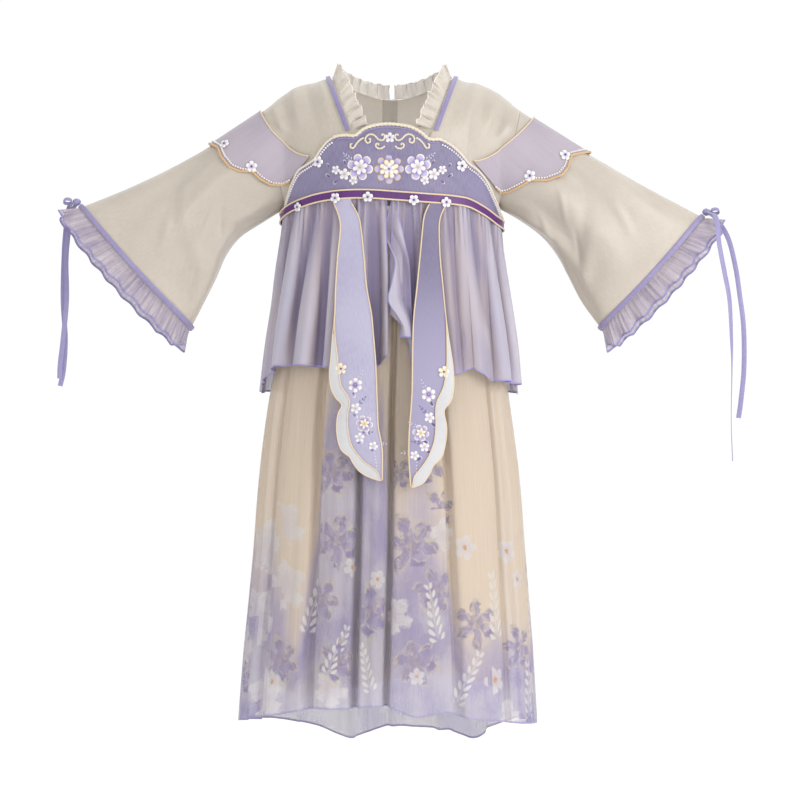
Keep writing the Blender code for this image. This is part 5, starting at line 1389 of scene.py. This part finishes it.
def lay_motifs(piece, points, degrees, title, rows):
    """Gives each motif its own map on the faces round it; elsewhere the map lies out of its reach."""
    whole = np.concatenate((points, points[:, :1]), 1)
    across, down = running(whole, 1), running(whole, 0)
    i, j = corner_places[piece.name]
    uv = np.full(i.shape + (2,), 5.0)
    for where, z, size, turn in zip(*rows.values()):
        column = int(np.argmin(np.abs((degrees[-1] - where + 180) % 360 - 180)))
        row = int(np.argmin(np.abs(points[:, column, 2] - z)))
        column = int(np.argmin(np.abs((degrees[row] - where + 180) % 360 - 180)))
        along_row = across - across[:, column:column + 1]
        total = across[:, -1:]
        along_row = (along_row + total / 2) % total - total / 2
        drop = down - down[row, column]
        c, s = math.cos(math.radians(turn)), math.sin(math.radians(turn))
        local = np.stack((along_row * c + drop * s, drop * c - along_row * s), -1) / size
        here = local[i, j]
        near = np.abs(here.mean(axis=1)).max(axis=1) < 1.12
        uv[near] = here[near]
    piece.data.uv_layers.new(name=title).data.foreach_set("uv", uv.ravel())
    return int((uv[:, 0, 0] < 5).sum())


def petals_of(x, y, count, low, high, sharp):
    """Distance inside a ring of petals over its reach: 1 at the middle and 0 on the petals' edge."""
    r = (x * x + y * y).do("SQRT")
    angle = y.do("ARCTAN2", x)
    reach = abs((angle * (count / 2)).do("COSINE")) ** sharp * (high - low) + low
    return 1 - r / reach, r, angle


def iris(finish, dye):
    """A violet flower with narrow uneven petals, ochre edges and dark veins."""
    x, y = finish.map("iris")
    blur = finish.noise(x * 2.2, y * 2.2, 1.0, 5.0, 0.6) - 0.5
    x, y = x + blur * 0.62, y + (finish.noise(y * 2.2, x * 2.2, 8.0, 5.0, 0.6) - 0.5) * 0.62
    inside, r, angle = petals_of(x, y, 6.0, 0.20, 0.96, 0.85)
    veins = (angle * 23.0 + blur * 9.0).do("SINE") * 0.5 + 0.5
    tone = finish.ramp(r + veins * 0.22, (0.0, srgb(232, 216, 176)), (1.0, srgb(190, 180, 214)),
                       (0.2, srgb(128, 110, 166)), (0.45, srgb(172, 160, 204)), (0.75, srgb(126, 110, 170)))
    lines = (finish.noise(x * 1.5, y * 1.5, 12.0, 1.0) * 7.0).do("FRACT")
    drawn = (1 - abs(lines - 0.5).over(0.07, 0.06)) * (1 - r.over(0.85, 0.2))
    dye = finish.mix(dye, srgb(232, 220, 190), drawn * 0.55)
    edge = (inside.over(0.02, 0.06) - inside.over(0.16, 0.1)).do("MAXIMUM", drawn * 0.8)
    tone = finish.mix(tone, srgb(226, 212, 180), edge * 0.75)
    patchy = finish.noise(x * 5.0, y * 5.0, 3.0, 4.0).over(0.44, 0.34) * 0.75 + 0.2
    return finish.mix(dye, tone, inside.over(0.05, 0.16) * patchy)


def blossom(finish, dye, title, strength, heart):
    """A round white flower of five petals, with an orange heart if it is near enough to see."""
    x, y = finish.map(title)
    rough = 0.9 if not heart else 0.35
    x = x + (finish.noise(x * 3.0, y * 3.0, 2.0, 5.0, 0.65) - 0.5) * rough
    y = y + (finish.noise(y * 3.0, x * 3.0, 6.0, 5.0, 0.65) - 0.5) * rough
    inside, r, _ = petals_of(x, y, 5.0, 0.42, 0.95, 0.55)
    shade = finish.ramp(r, (0.0, srgb(226, 216, 222)), (1.0, srgb(248, 246, 244)))
    worn = finish.noise(x * 7.0, y * 7.0, 4.0, 4.0).over(0.4, 0.4) * 0.5 + 0.5
    dye = finish.mix(dye, shade, inside.over(0.08, 0.2) * worn * strength)
    if heart:
        dye = finish.mix(dye, srgb(226, 168, 110), 1 - r.over(0.16, 0.08))
    return dye


def spray(finish, dye):
    """A stem with pairs of small white leaves that get smaller towards its tip."""
    x, y = finish.map("spray")
    x = x + (y * 1.7).do("SINE") * 0.16
    side = abs(x)
    step = y * 3.1 + side * 3.0
    leaf = ((step.do("FRACT") - 0.5) / 0.33) ** 2.0
    taper = 0.70 + y * 0.30
    leaf = leaf + ((side / taper - 0.20) / 0.15) ** 2.0
    whole = (1 - leaf).over(0.05, 0.3) * (1 - abs(y).over(0.98, 0.04))
    stem = (1 - side.over(0.025, 0.02)) * (1 - abs(y).over(0.9, 0.1)) * 0.5
    worn = finish.noise(x * 3.0, y * 2.0, 9.0, 4.0).over(0.38, 0.3) * 0.55 + 0.35
    return finish.mix(dye, srgb(246, 243, 238), whole.do("MAXIMUM", stem) * worn)


# %% Chiffon of the skirt
def chiffon():
    finish = Finish("skirt chiffon", roughness=0.62, sheen_weight=0.25, sheen_roughness=0.5)
    u, v = finish.map("cloth")
    to_hem, _ = finish.map("edge")
    amount = finish.node("Attribute", {"attribute_name": "dye"}, {}, 2)
    hollow = finish.node("Attribute", {"attribute_name": "hollow"}, {}, 2)
    cloud = finish.noise(u * 15.0, v * 10.0, 7.0, 4.0) - 0.5
    streak = finish.noise(u * 800.0, v * 12.0, 2.0, 4.0)
    wash = amount + cloud * amount * (1 - amount) * 5.0
    dye = finish.ramp(wash, (0.0, srgb(244, 225, 203)), (1.0, srgb(162, 152, 200)),
                      (0.35, srgb(226, 211, 210)), (0.65, srgb(196, 185, 210)))
    dye = finish.mix(dye, srgb(226, 220, 224), (cloud + amount * 0.9).over(0.86, 0.3) * 0.7)
    # Painted shade: the hollows of the folds are tinted warm brown where the cloth is cream and greyer
    # violet where it is dyed.
    dye = finish.mix(dye, finish.mix(srgb(186, 150, 116), srgb(140, 122, 152), amount), hollow * 0.32)
    dye = blossom(finish, dye, "cloud", 0.85, False)
    dye = iris(finish, dye)
    dye = spray(finish, dye)
    dye = blossom(finish, dye, "blossom", 0.9, True)
    dye = finish.mix(dye, srgb(214, 204, 200), (streak - 0.5) * 0.5)
    bound = 1 - to_hem.over(0.0024, 0.0008)
    finish.feed("Base Color", finish.mix(dye, srgb(158, 148, 188), bound * 0.8))
    finish.feed("Alpha", (streak * 0.16 + 0.36 + hollow * 0.1 + bound).do("MINIMUM", 1.0))
    weave(finish, u, v, crinkle=1.6, strength=0.75)
    return finish


skirt_cloth = sew("skirt_chiffon", skirt_points, chiffon().material, ring=True, thick=SHEER_THIN)
# The dye and the painted shade of the hollows are stored on the points for the finish to read.
for title, values in (("dye", dye), ("hollow", hollow)):
    number_points(skirt_cloth, title, np.tile(values.ravel(), 2))
for title, rows in MOTIFS.items():
    print(title, lay_motifs(skirt_cloth, skirt_points, skirt_degrees, title, rows), "faces")
hang(skirt_cloth, skirt_points, ["skirt"], "skirt", ["waist_belt_satin"], ring=True)

# %% [markdown]
# ## Cords and piping
# Piping is a cord wrapped in a strip of satin. It stiffens an edge and draws its line. The scalloped
# edges carry a thicker cord of two twisted strands. A cord is a ring of points carried along the edge's
# path; for a twisted one the ring has two lobes, which turn as it goes.

# %% Cords
def cord_yarn(name, colour, deep):
    """Tightly spun silk: fine slanting threads over a slightly darker core."""
    finish = Finish(name, roughness=0.5, sheen_weight=0.3, sheen_roughness=0.4)
    x, y, z = finish.place()
    thread = finish.noise(x * 1500.0 + z * 900.0, y * 1500.0, z * 1500.0)
    finish.feed("Base Color", finish.mix(deep, colour, thread.over(0.45, 0.5)))
    finish.bump(thread, 0.5, 0.0006)
    return finish


piping_yarn = cord_yarn("piping yarn", srgb(246, 225, 192), srgb(222, 190, 148))
rope_yarn = cord_yarn("rope yarn", srgb(248, 238, 218), srgb(216, 196, 164))
cap_yarn = cord_yarn("cap cord yarn", srgb(232, 196, 148), srgb(192, 146, 98))


CORD_SIDES = 10          # points round a cord


def cord(name, path, out, radius, finish, twist=0.0):
    """A plain or twisted cord sewn along a path; out is the outward direction at each of its points."""
    path, out = np.asarray(path, float), np.broadcast_to(out, np.shape(path))
    way = metres(path)
    at = np.linspace(0, way[-1], int(way[-1] / (twist / 7 if twist else 0.0018)) + 2)
    path, out = (np.stack([np.interp(at, way, p[:, k]) for k in range(3)], -1) for p in (path, out))
    run = unit(np.gradient(path, axis=0))
    side = unit(np.cross(run, out))
    out = np.cross(side, run)
    angle = np.linspace(0, 2 * math.pi, CORD_SIDES, endpoint=False)
    size = radius * np.ones((len(at), CORD_SIDES))
    if twist:
        size *= 0.6 + 0.4 * np.abs(np.cos(angle - math.pi * at[:, None] / twist))
    end = np.clip(np.minimum(at, at[-1] - at) / radius, 0.1, 1)
    size *= np.sqrt(1 - (1 - end) ** 2)[:, None]
    ring = path[:, None] + size[..., None] * (out[:, None] * np.cos(angle)[:, None]
                                              + side[:, None] * np.sin(angle)[:, None])
    here, k = np.meshgrid(np.arange(len(at) - 1) * CORD_SIDES, np.arange(CORD_SIDES), indexing="ij")
    after = (k + 1) % CORD_SIDES
    beyond = here + CORD_SIDES
    faces = np.stack((here + k, here + after, beyond + after, beyond + k), -1).reshape(-1, 4)
    first_end = list(range(CORD_SIDES - 1, -1, -1))
    last_end = [len(ring) * CORD_SIDES - 1 - k for k in first_end]
    faces = faces.tolist() + [first_end, last_end]
    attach(mesh_piece(name, ring, faces, finish.material), "root")
    print("%-28s %.0f mm" % (name, way[-1] * 1e3))


def chest_line(start, stop, inset, lift):
    """A path along the chest panel's top edge, between two angles and a little way in from it."""
    degrees = np.linspace(start, stop, 120)
    return on_chest(CHEST_HALF_WIDTH * np.sin(np.radians(degrees)), chest_top_z(degrees) - inset, lift)


def around_waist(rise, lift):
    """A path all round the belt at a height over its middle line."""
    degrees = np.linspace(-180, 180, 361)
    x, y = ellipse_point(degrees, CHEST_HALF_WIDTH, CHEST_HALF_DEPTH, 0, BELT_START + BELT_THICK + lift)
    path = points_of(x, y, belt_z(degrees) + rise)
    return path, unit(path * (1, 1, 0))


# %% Edges of the chest panel, belt, caps and streamers
cord("chest_rope", *chest_line(-31.5, 26.5, 0.0012, 0.0012), 0.0025, rope_yarn, 0.0052)
for side, name, start, stop in ((-1, "left", -86, -30.5), (1, "right", 25.5, 86)):
    cord("chest_piping_" + name, *chest_line(start, stop, 0.0012, 0.0008), 0.0018, rope_yarn, 0.0042)
    cord("chest_binding_" + name, *chest_line(start, stop, 0.0040, 0.0004), 0.0011, band_satin)
cord("chest_binding_top", *chest_line(-30, 25, 0.0048, 0.0004), 0.0012, band_satin)
for name, rise in (("upper", BELT_HEIGHT / 2), ("lower", -BELT_HEIGHT / 2)):
    cord("belt_piping_" + name, *around_waist(rise, 0.0002), 0.0011, piping_yarn)
for side, (name, rows, cap) in SLEEVES.items():
    points, out = cap_grids[side]
    cord("cap_seam_piping_" + name, points[0] + out[0] * 0.0005, out[0], 0.0009, piping_yarn)
    cord("cap_edge_cord_" + name, points[-1] + out[-1] * 0.0004, out[-1], 0.0019, cap_yarn, 0.0046)
for side, name, rows in STREAMERS:
    last = len(rows["z"]) - 1
    z, outer, inner, border = streamer_row(rows, np.linspace(0, last, 220))
    top = belt_z(body_degrees(outer[0])) - BELT_HEIGHT / 2 - 0.0012
    z = np.minimum(z, top)
    x = np.concatenate((outer, inner[::-1]))
    cord("streamer_piping_" + name, *on_streamer(x, np.concatenate((z, z[::-1])), 0.0005), 0.0009,
         piping_yarn)
    start = int(np.argmax(rows["border"] != rows["outer"]))
    z, outer, inner, border = streamer_row(rows, np.linspace(start - 1, last, 160))
    x = np.clip(border, np.minimum(outer, inner), np.maximum(outer, inner))
    cord("streamer_line_" + name, *on_streamer(x, z, 0.0013), 0.0008, piping_yarn)

# %% [markdown]
# ## Scrollwork
# Under the rope the panel has curling couched cords: a thick thread is laid on the satin in a scroll and
# held with tiny stitches. One side's curl is drawn as a few points and laid again, mirrored, on the other.

# %% Scrolls
SCROLL = table(
    "x z", (0.0086, 0.0012), (0.0072, 0.0026), (0.0054, 0.0014), (0.0058, -0.0012), (0.0086, -0.0024),
    (0.0122, -0.0012), (0.0150, 0.0012), (0.0186, 0.0026), (0.0226, 0.0018), (0.0248, -0.0010),
    (0.0236, -0.0038), (0.0206, -0.0040), (0.0198, -0.0016), (0.0214, -0.0006))
TAIL_SCROLL = table(
    "x z", (0.0262, -0.0002), (0.0296, -0.0014), (0.0334, -0.0044), (0.0364, -0.0078), (0.0394, -0.0078),
    (0.0396, -0.0052), (0.0378, -0.0048))
LOW_SCROLL = table(
    "x z", (0.0050, -0.0068), (0.0080, -0.0086), (0.0116, -0.0088), (0.0142, -0.0070), (0.0134, -0.0050),
    (0.0114, -0.0054), (0.0118, -0.0066))
SCROLL_CENTRE = (-0.0025, -0.0815)
for title, rows in (("scroll", SCROLL), ("tail_scroll", TAIL_SCROLL), ("low_scroll", LOW_SCROLL)):
    at = np.linspace(0, len(rows["x"]) - 1, 90)
    for side, name in SIDES:
        x = SCROLL_CENTRE[0] + side * along(rows, "x", at) * 1.28
        z = SCROLL_CENTRE[1] + along(rows, "z", at) * 1.6
        cord(title + "_" + name, *on_chest(x, z, 0.0009), 0.0014, rope_yarn, 0.0036)

# %% [markdown]
# ## Beads
# A line of tiny pearl beads runs inside the caps' edges and the panel's side lobes. One bead is modelled,
# and copies of it are set at even steps along the line.

# %% Beads
pearl = Finish("pearl", roughness=0.22, coat_weight=0.4, coat_roughness=0.15)
x, y, z = pearl.place()
lustre = pearl.noise(x * 700.0, y * 700.0, z * 700.0)
pearl.feed("Base Color", pearl.ramp(lustre, (0.3, srgb(232, 226, 232)), (0.7, srgb(252, 249, 246))))

bpy.ops.mesh.primitive_ico_sphere_add(subdivisions=2, radius=1)
bead = bpy.context.object
bead.data.name = "bead"
bead_form = np.array([v.co for v in bead.data.vertices]), [list(p.vertices) for p in bead.data.polygons]
bpy.ops.object.delete()


def copies(name, form, frames, finish, numbers=None):
    """Many copies of one form in a single mesh, each with its own frame of three axes and a place."""
    verts, faces = form
    frames = np.array(frames, float)
    places = np.einsum("vk,nkc->nvc", verts, frames[:, :3]) + frames[:, None, 3]
    all_faces = [[v + n * len(verts) for v in face] for n in range(len(frames)) for face in faces]
    piece = mesh_piece(name, places, all_faces, finish.material)
    if numbers is not None:
        number_points(piece, "along", np.tile(numbers, len(frames)))
    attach(piece, "root")
    print("%-28s %d copies" % (name, len(frames)))
    return piece


BEAD_RADIUS = 0.0015
BEAD_STEP = 0.0036


def bead_line(path, out):
    """Frames of beads at even steps along a path."""
    way = metres(path)
    at = np.arange(BEAD_STEP / 2, way[-1], BEAD_STEP)
    middle = path + out * BEAD_RADIUS * 0.6
    places = np.stack([np.interp(at, way, middle[:, k]) for k in range(3)], -1)
    return [np.vstack((np.eye(3) * BEAD_RADIUS, place)) for place in places]


for side, (name, rows, cap) in SLEEVES.items():
    points, out = cap_grids[side]
    line = points[-1] * 0.91 + points[-5] * 0.09 + (points[-3] - points[-1]) * 0.75
    copies("cap_beads_" + name, bead_form, bead_line(line, out[-3]), pearl)
frames = []
for start, stop in ((-83, -31), (26, 83)):
    frames += bead_line(*chest_line(start, stop, 0.0070, 0))
copies("chest_beads", bead_form, frames, pearl)

# %% [markdown]
# ## One petal
# Pearl flowers and embroidery are all made of one padded petal: a flattened ball, narrow at its foot,
# with a groove down its middle. It carries a number that runs from its foot to its tip, and the
# finish shades each petal by that number, as satin stitch does with two threads.

# %% Petal
bpy.ops.mesh.primitive_uv_sphere_add(segments=10, ring_count=7, radius=1, rotation=(math.pi / 2, 0, 0))
bpy.ops.object.transform_apply(location=False, rotation=True, scale=False)
petal = bpy.context.object
for vert in petal.data.vertices:
    foot = (1 + vert.co.y) / 2
    vert.co.x *= 0.45 + 0.75 * foot ** 0.8
    vert.co.z *= 1 - 0.4 * math.exp(-(vert.co.x / 0.22) ** 2) * foot
petal_form = np.array([v.co for v in petal.data.vertices]), [list(p.vertices) for p in petal.data.polygons]
petal_along = (1 + petal_form[0][:, 1]) / 2
bpy.ops.object.delete()


def stitched(name, foot, tip, rough=0.5):
    """Satin stitch or ribbon in two shades, with fine threads along each petal."""
    finish = Finish(name, roughness=rough, sheen_weight=0.2, sheen_roughness=0.4)
    share = finish.node("Attribute", {"attribute_name": "along"}, {}, 2)
    x, y, z = finish.place()
    thread = finish.noise(x * 2600.0, y * 600.0, z * 1300.0)
    finish.feed("Base Color", finish.ramp(share + (thread - 0.5) * 0.35, (0.25, foot), (0.75, tip)))
    finish.bump(thread, 0.35, 0.0005)
    return finish


THREADS = {
    "white": stitched("white thread", srgb(214, 206, 224), srgb(247, 243, 238)),
    "cream": stitched("cream thread", srgb(232, 214, 180), srgb(246, 238, 222)),
    "gold": stitched("gold thread", srgb(196, 164, 92), srgb(222, 198, 146), 0.4),
    "violet": stitched("violet thread", srgb(112, 92, 168), srgb(196, 184, 226)),
    "deep": stitched("deep violet thread", srgb(72, 56, 132), srgb(112, 96, 168)),
    "leaf": stitched("pale leaf thread", srgb(178, 176, 206), srgb(224, 220, 232))}
sewn = {colour: [] for colour in THREADS}


def petal_frame(place, out, turn, length, width, thick):
    """A petal's frame on a surface; turn is clockwise from straight up, in degrees."""
    up = unit(np.array((0, 0, 1.0)) - out * out[2])
    right = np.cross(up, out)
    c, s = math.cos(math.radians(turn)), math.sin(math.radians(turn))
    way, across = up * c + right * s, right * c - up * s
    return np.vstack((across * width / 2, way * length / 2, out * thick / 2, place + way * length * 0.5))


def leaf(colour, form, x, z, turn, length, width, thick=0.0011, lift=0.0001, edge=None):
    """One petal or leaf of embroidery, with an outline of another thread if edge names one."""
    place, out = form(x, z, lift)
    sewn[colour].append(petal_frame(place, out, turn, length, width, thick))
    if edge:
        under = petal_frame(place, out, turn, length * 1.08, width * 1.17, thick * 0.66)
        sewn[edge].append(under)


def rosette(colour, form, x, z, count, reach, width, turn=0.0, start=0.0, edge=None, lift=0.0001):
    """A ring of petals, whose feet stand start metres from the middle."""
    for k in range(count):
        way = math.radians(turn + 360 * k / count)
        leaf(colour, form, x + start * math.sin(way), z + start * math.cos(way), math.degrees(way),
             reach - start, width, lift=lift, edge=edge)


def heart(colour, form, x, z, size, lift=0.0009):
    """A small round knot at a flower's middle."""
    leaf(colour, form, x, z - size / 2, 0, size, size, 0.0011, lift)


def bloom(form, x, z, reach, outer, inner, turn=0.0, edge="gold"):
    """A full flower of two rings of petals round a gold heart."""
    rosette(outer, form, x, z, 6, reach, reach * 0.66, turn, reach * 0.18, edge)
    rosette(inner, form, x, z, 6, reach * 0.62, reach * 0.40, turn + 30, 0.0, None, 0.0006)
    heart("gold", form, x, z, reach * 0.26, 0.0012)


def sprig(form, x, z, turn, length, count, colour="leaf"):
    """Pairs of leaves along a stem that leaves a place at an angle."""
    for k in range(count):
        share = (k + 0.4) / count
        way = math.radians(turn)
        px, pz = x + length * share * math.sin(way), z + length * share * math.cos(way)
        for hand in (-1, 1):
            leaf(colour, form, px, pz, turn + hand * 42, length * 0.34 * (1.1 - share * 0.5),
                 length * 0.12, 0.0008)
    leaf(colour, form, x + length * math.sin(math.radians(turn)), z + length * math.cos(math.radians(turn)),
         turn, length * 0.3, length * 0.12, 0.0008)


# %% [markdown]
# ## Embroidery
# The panel's middle carries a round rosette. On each side of it are a full violet flower, sprigs, white
# blossoms and small dark leaves. The streamers carry falling sprays of the same flowers.

# %% Chest embroidery
MIDDLE = (-0.0035, -0.1225)
rosette("violet", on_chest, *MIDDLE, 8, 0.0185, 0.0092, 0, 0.0060, "gold")
rosette("cream", on_chest, *MIDDLE, 8, 0.0125, 0.0066, 22.5, 0.0030, "gold", 0.0007)
rosette("white", on_chest, *MIDDLE, 5, 0.0078, 0.0060, 0, 0, None, 0.0014)
heart("deep", on_chest, *MIDDLE, 0.0028, 0.0021)
for side in (-1, 1):
    x, z = MIDDLE[0] + side * 0.0375, MIDDLE[1] + 0.0030
    bloom(on_chest, x, z, 0.0165, "violet", "white", side * 15, "cream")
    sprig(on_chest, x + side * 0.010, z + 0.008, side * 48, 0.0130, 3)
    sprig(on_chest, x - side * 0.004, z - 0.012, side * 118, 0.0110, 2)
    for dx, dz, reach, turn in ((0.0205, -0.0090, 0.0078, 10), (0.0320, -0.0030, 0.0060, 30),
                                (0.0090, -0.0175, 0.0058, 50)):
        rosette("white", on_chest, x + side * dx, z + dz, 5, reach, reach * 0.78, turn)
        heart("gold", on_chest, x + side * dx, z + dz, reach * 0.36)
    for dx, dz, turn, length in ((0.0390, -0.0120, 60, 0.0070), (0.0300, -0.0170, 130, 0.0062),
                                 (0.0400, 0.0010, 35, 0.0056), (0.0190, 0.0040, 20, 0.0060)):
        leaf("deep", on_chest, x + side * dx, z + dz, side * turn, length, length * 0.55, edge="cream")
rosette("white", on_chest, *SCROLL_CENTRE, 5, 0.0070, 0.0056, 0)
heart("deep", on_chest, *SCROLL_CENTRE, 0.0026)

# %% Streamer embroidery
def edge_at(rows, column, z):
    """Where a line of a streamer lies at a height. Its table runs downwards."""
    return float(smooth({c: v[::-1] for c, v in rows.items()}, column, z, "z"))


SPRAYS = table(
    "x z reach", (0.0470, -0.4060, 0.0090), (0.0545, -0.4360, 0.0070), (0.0400, -0.4560, 0.0105),
    (0.0500, -0.4740, 0.0066), (0.0330, -0.4850, 0.0062))
for side, name, rows in STREAMERS:
    shift = -0.012 if side > 0 else 0.0
    for k, (x, z, reach) in enumerate(zip(*SPRAYS.values())):
        line, edge = edge_at(rows, "border", z + shift), edge_at(rows, "inner", z + shift)
        x = edge + (line - edge) * np.clip((x - 0.02) / 0.045, 0.2, 0.8)
        if k in (0, 2):
            outer, inner = ("violet", "cream") if k else ("white", "violet")
            bloom(on_streamer, x, z + shift, reach, outer, inner, 20 * k, "cream")
        else:
            rosette("white", on_streamer, x, z + shift, 5, reach, reach * 0.76, 24 * k)
            heart("gold", on_streamer, x, z + shift, reach * 0.34)
        sprig(on_streamer, x - side * 0.004, z + shift + reach * 0.7, -side * (24 + 18 * k), 0.0110, 2,
              ("leaf", "deep")[k % 2])
        leaf("deep" if side > 0 else "violet", on_streamer, x + side * 0.003, z + shift - reach,
             160 - 25 * k, 0.0072, 0.0042, edge="cream")
    for k in range(7):
        z = -0.494 - 0.0042 * k + shift
        x = edge_at(rows, "inner", z) + side * (0.010 - 0.0006 * k)
        heart("white" if k % 2 else "cream", on_streamer, x, z, 0.0018, 0.0002)
    z = -0.385 + shift / 3
    x = edge_at(rows, "border", z) - side * 0.0030
    rosette("cream", on_streamer, x, z, 5, 0.0080, 0.0062, 10 * side, 0, None, 0.0010)
    heart("deep", on_streamer, x, z, 0.0030, 0.0020)

for colour, frames in sewn.items():
    copies("embroidery_" + colour, petal_form, frames, THREADS[colour], numbers=petal_along)

# %% [markdown]
# ## Pearl flowers
# Small flowers of white satin ribbon are sewn on as fasteners would be: five domed petals round a violet
# bead. They stand exactly where the solids' flowers do.

# %% Pearl flowers
ribbon_flower = stitched("flower ribbon", srgb(206, 198, 218), srgb(250, 247, 244), 0.35)
violet_bead = Finish("violet bead", roughness=0.25, coat_weight=0.5, base_color=srgb(84, 66, 142))


def pearl_flower(name, place, out, radius, turn):
    """Five cupped petals as one piece that replaces the solid. It gives back its bead's frame."""
    frames = [petal_frame(place + out * 0.0012, out, turn + 72 * k, radius * 0.98, radius * 0.86, 0.0022)
              for k in range(5)]
    piece = copies(name + "_ribbon", petal_form, frames, ribbon_flower, petal_along)
    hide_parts(name)
    return [np.vstack((np.eye(3) * radius * 0.2, place + out * 0.0026))]


def on_belt(degrees, lift):
    x, y = ellipse_point(degrees, CHEST_HALF_WIDTH, CHEST_HALF_DEPTH, 0, BELT_START + BELT_THICK + PIPING)
    place = np.array((x, y, belt_z(degrees) - BELT_HEIGHT / 2 + 0.0012))
    far = np.array(ellipse_point(degrees, CHEST_HALF_WIDTH, CHEST_HALF_DEPTH, 0, 0.1))
    out = unit(np.array((*(far - place[:2]), 0.0)))
    return place + out * lift, out


hearts = []
for k, (degrees, radius, seat) in enumerate(zip(*BELT_FLOWERS.values())):
    hearts += pearl_flower("belt_flower_%d" % (k + 1), *on_belt(degrees, seat), radius, 36 * (k % 2))
for k, (x, z, radius, seat) in enumerate(zip(*PANEL_FLOWERS.values())):
    hearts += pearl_flower("chest_flower_%d" % (k + 1), *on_chest(x, z, seat), radius, 20)
for k, (x, z, radius, seat) in enumerate(zip(*CAP_FLOWERS.values())):
    rows = SLEEVES[int(np.sign(x))][1]
    place, out = laid(lambda a, b: arm_depth(rows, a, b), x, z, CAP_LIE + WALL + seat)
    hearts += pearl_flower("cap_flower_%d" % (k + 1), place, out, radius, 25 * k)
copies("flower_hearts", bead_form, hearts, violet_bead)

# %% [markdown]
# ## Cuff ties
# Each cuff is closed with a lavender ribbon, tied on top in a knot with one small loop and two tails that
# hang free. The routes are the ones of the solids, so the tails lie where they do.

# %% Ribbon tails
for name, rows in TAILS.items():
    last = len(rows["x"]) - 1
    at = np.linspace(0, last, 90)
    centre = points_of(*(along(rows, c, at) for c in ("x", "y", "z")))
    run = unit(np.gradient(centre, axis=0))
    turn = np.radians(along(rows, "turn", at))
    across = points_of(np.cos(turn), np.sin(turn), 0)
    across -= run * np.sum(across * run, axis=1, keepdims=True)
    across = unit(across) * TAIL_WIDTH / 2
    face = np.cross(run, across) / (TAIL_WIDTH / 2)
    share = np.linspace(-1, 1, 7)
    points = centre[:, None] + across[:, None] * share[None, :, None]
    points = points + face[:, None] * (0.0004 * (1 - share ** 2))[None, :, None]
    tail = sew(name + "_ribbon", points, ribbon_satin.material, inside=tuple(centre.mean(0) + face.mean(0)))
    carry(tail, "ribbon", name)
    length = float(metres(centre)[-1])
    print(name, round(length, 3), "m")

# %% [markdown]
# A knot is a pinched ball of folded ribbon. It starts as a ball, is squeezed, and gets a few grooves where
# the ribbon crosses itself. The loop is a short strip bent round on itself, and it leans a little so that
# its face shows.

# %% Knots and loops
for side, (name, rows, cap) in SLEEVES.items():
    last = np.array(float(len(rows["top_x"]) - 1))
    top, under = sleeve_line(rows, last)
    rise = (top - under) / np.linalg.norm(top - under)
    seat = sleeve_ring(rows, last, np.array(0.0), CUFF_BAND_OUT, -CUFF_BAND_WIDTH / 2)
    knot = (seat + points_of(rise[0], 0, rise[1]) * (KNOT[0] + SEAM)) * (side, 1, 1)
    bpy.ops.mesh.primitive_uv_sphere_add(segments=32, ring_count=20, radius=1, location=knot)
    bpy.context.object.scale = KNOT
    bpy.ops.object.transform_apply(location=False, rotation=False, scale=True)
    ball = bpy.context.object
    for vert in ball.data.vertices:
        lean = math.atan2(vert.co.z, vert.co.y)
        vert.co *= 1 - 0.16 * max(0, math.cos(3 * lean + vert.co.x * 500)) ** 3
    bpy.ops.object.transform_apply(location=True, rotation=False, scale=False)
    ball.name = ball.data.name = "tie_knot_ribbon_" + name
    ball.data.materials.append(ribbon_satin.material)
    bpy.ops.object.shade_smooth()
    carry(ball, "ribbon", "tie_knot_" + name)
    bpy.ops.object.select_all(action="DESELECT")

    start = knot + np.array((side * (KNOT[0] + LOOP_START), 0, 0.0010))
    share, turn = grid_of(np.linspace(-1, 1, 7), np.linspace(0, 2 * math.pi, 48, endpoint=False))
    swell = 1 + 0.06 * (1 - share ** 2)
    y, z = share * TAIL_WIDTH / 2, np.sin(turn) * LOOP[1] * swell
    points = start + points_of(np.cos(turn) * LOOP[0] * swell - 0.0003,
                               y * 0.74 - z * 0.67, z * 0.74 + y * 0.67)
    loop = sew("tie_loop_ribbon_" + name, points, ribbon_satin.material, ring=True)
    carry(loop, "ribbon", "tie_loop_" + name)

# %% [markdown]
# ## Floor and light
# A pale floor lies well below the hem. One large soft light stands in front on the right, a weaker one
# by the camera reaches into the neck, and a third hangs above. The pale surroundings light the rest, as
# in a studio with white walls.

# %% Floor and lights
FLOOR_Z = -1.3
DRESS_MIDDLE = np.array((0, 0, -0.45))
SURROUNDINGS = 1.02      # strength of the pale light from all round
bpy.ops.mesh.primitive_plane_add(size=60, location=(0, 0, FLOOR_Z))
floor = bpy.context.object
floor.name = "floor"
floor_finish = Finish("pale floor", roughness=0.9, base_color=(1.0, 1.0, 1.0))
floor.data.materials.append(floor_finish.material)
bpy.ops.object.select_all(action="DESELECT")

world = bpy.data.worlds.new("studio")
world.use_nodes = True
world.node_tree.nodes["Background"].inputs["Color"].default_value = (1, 1, 1, 1)
world.node_tree.nodes["Background"].inputs["Strength"].default_value = SURROUNDINGS
bpy.context.scene.world = world
bpy.context.scene.view_settings.view_transform = "Standard"
LIGHTS = (("key", (2.2, -2.3, 0.5), 1.6, 50.0), ("front", (-0.35, -3.2, 0.45), 1.0, 13.0),
          ("top", (0.2, 0.6, 2.4), 2.0, 9.0))      # name, place, size in metres and power in watts
for name, place, size, power in LIGHTS:
    bpy.ops.object.light_add(type="AREA", location=place)
    light = bpy.context.object
    light.name = name
    light.data.size, light.data.energy = size, power
    x, y, z = DRESS_MIDDLE - np.array(place)
    light.rotation_euler = (math.atan2(np.hypot(x, y), -z), 0, math.atan2(-x, y))
bpy.ops.object.select_all(action="DESELECT")
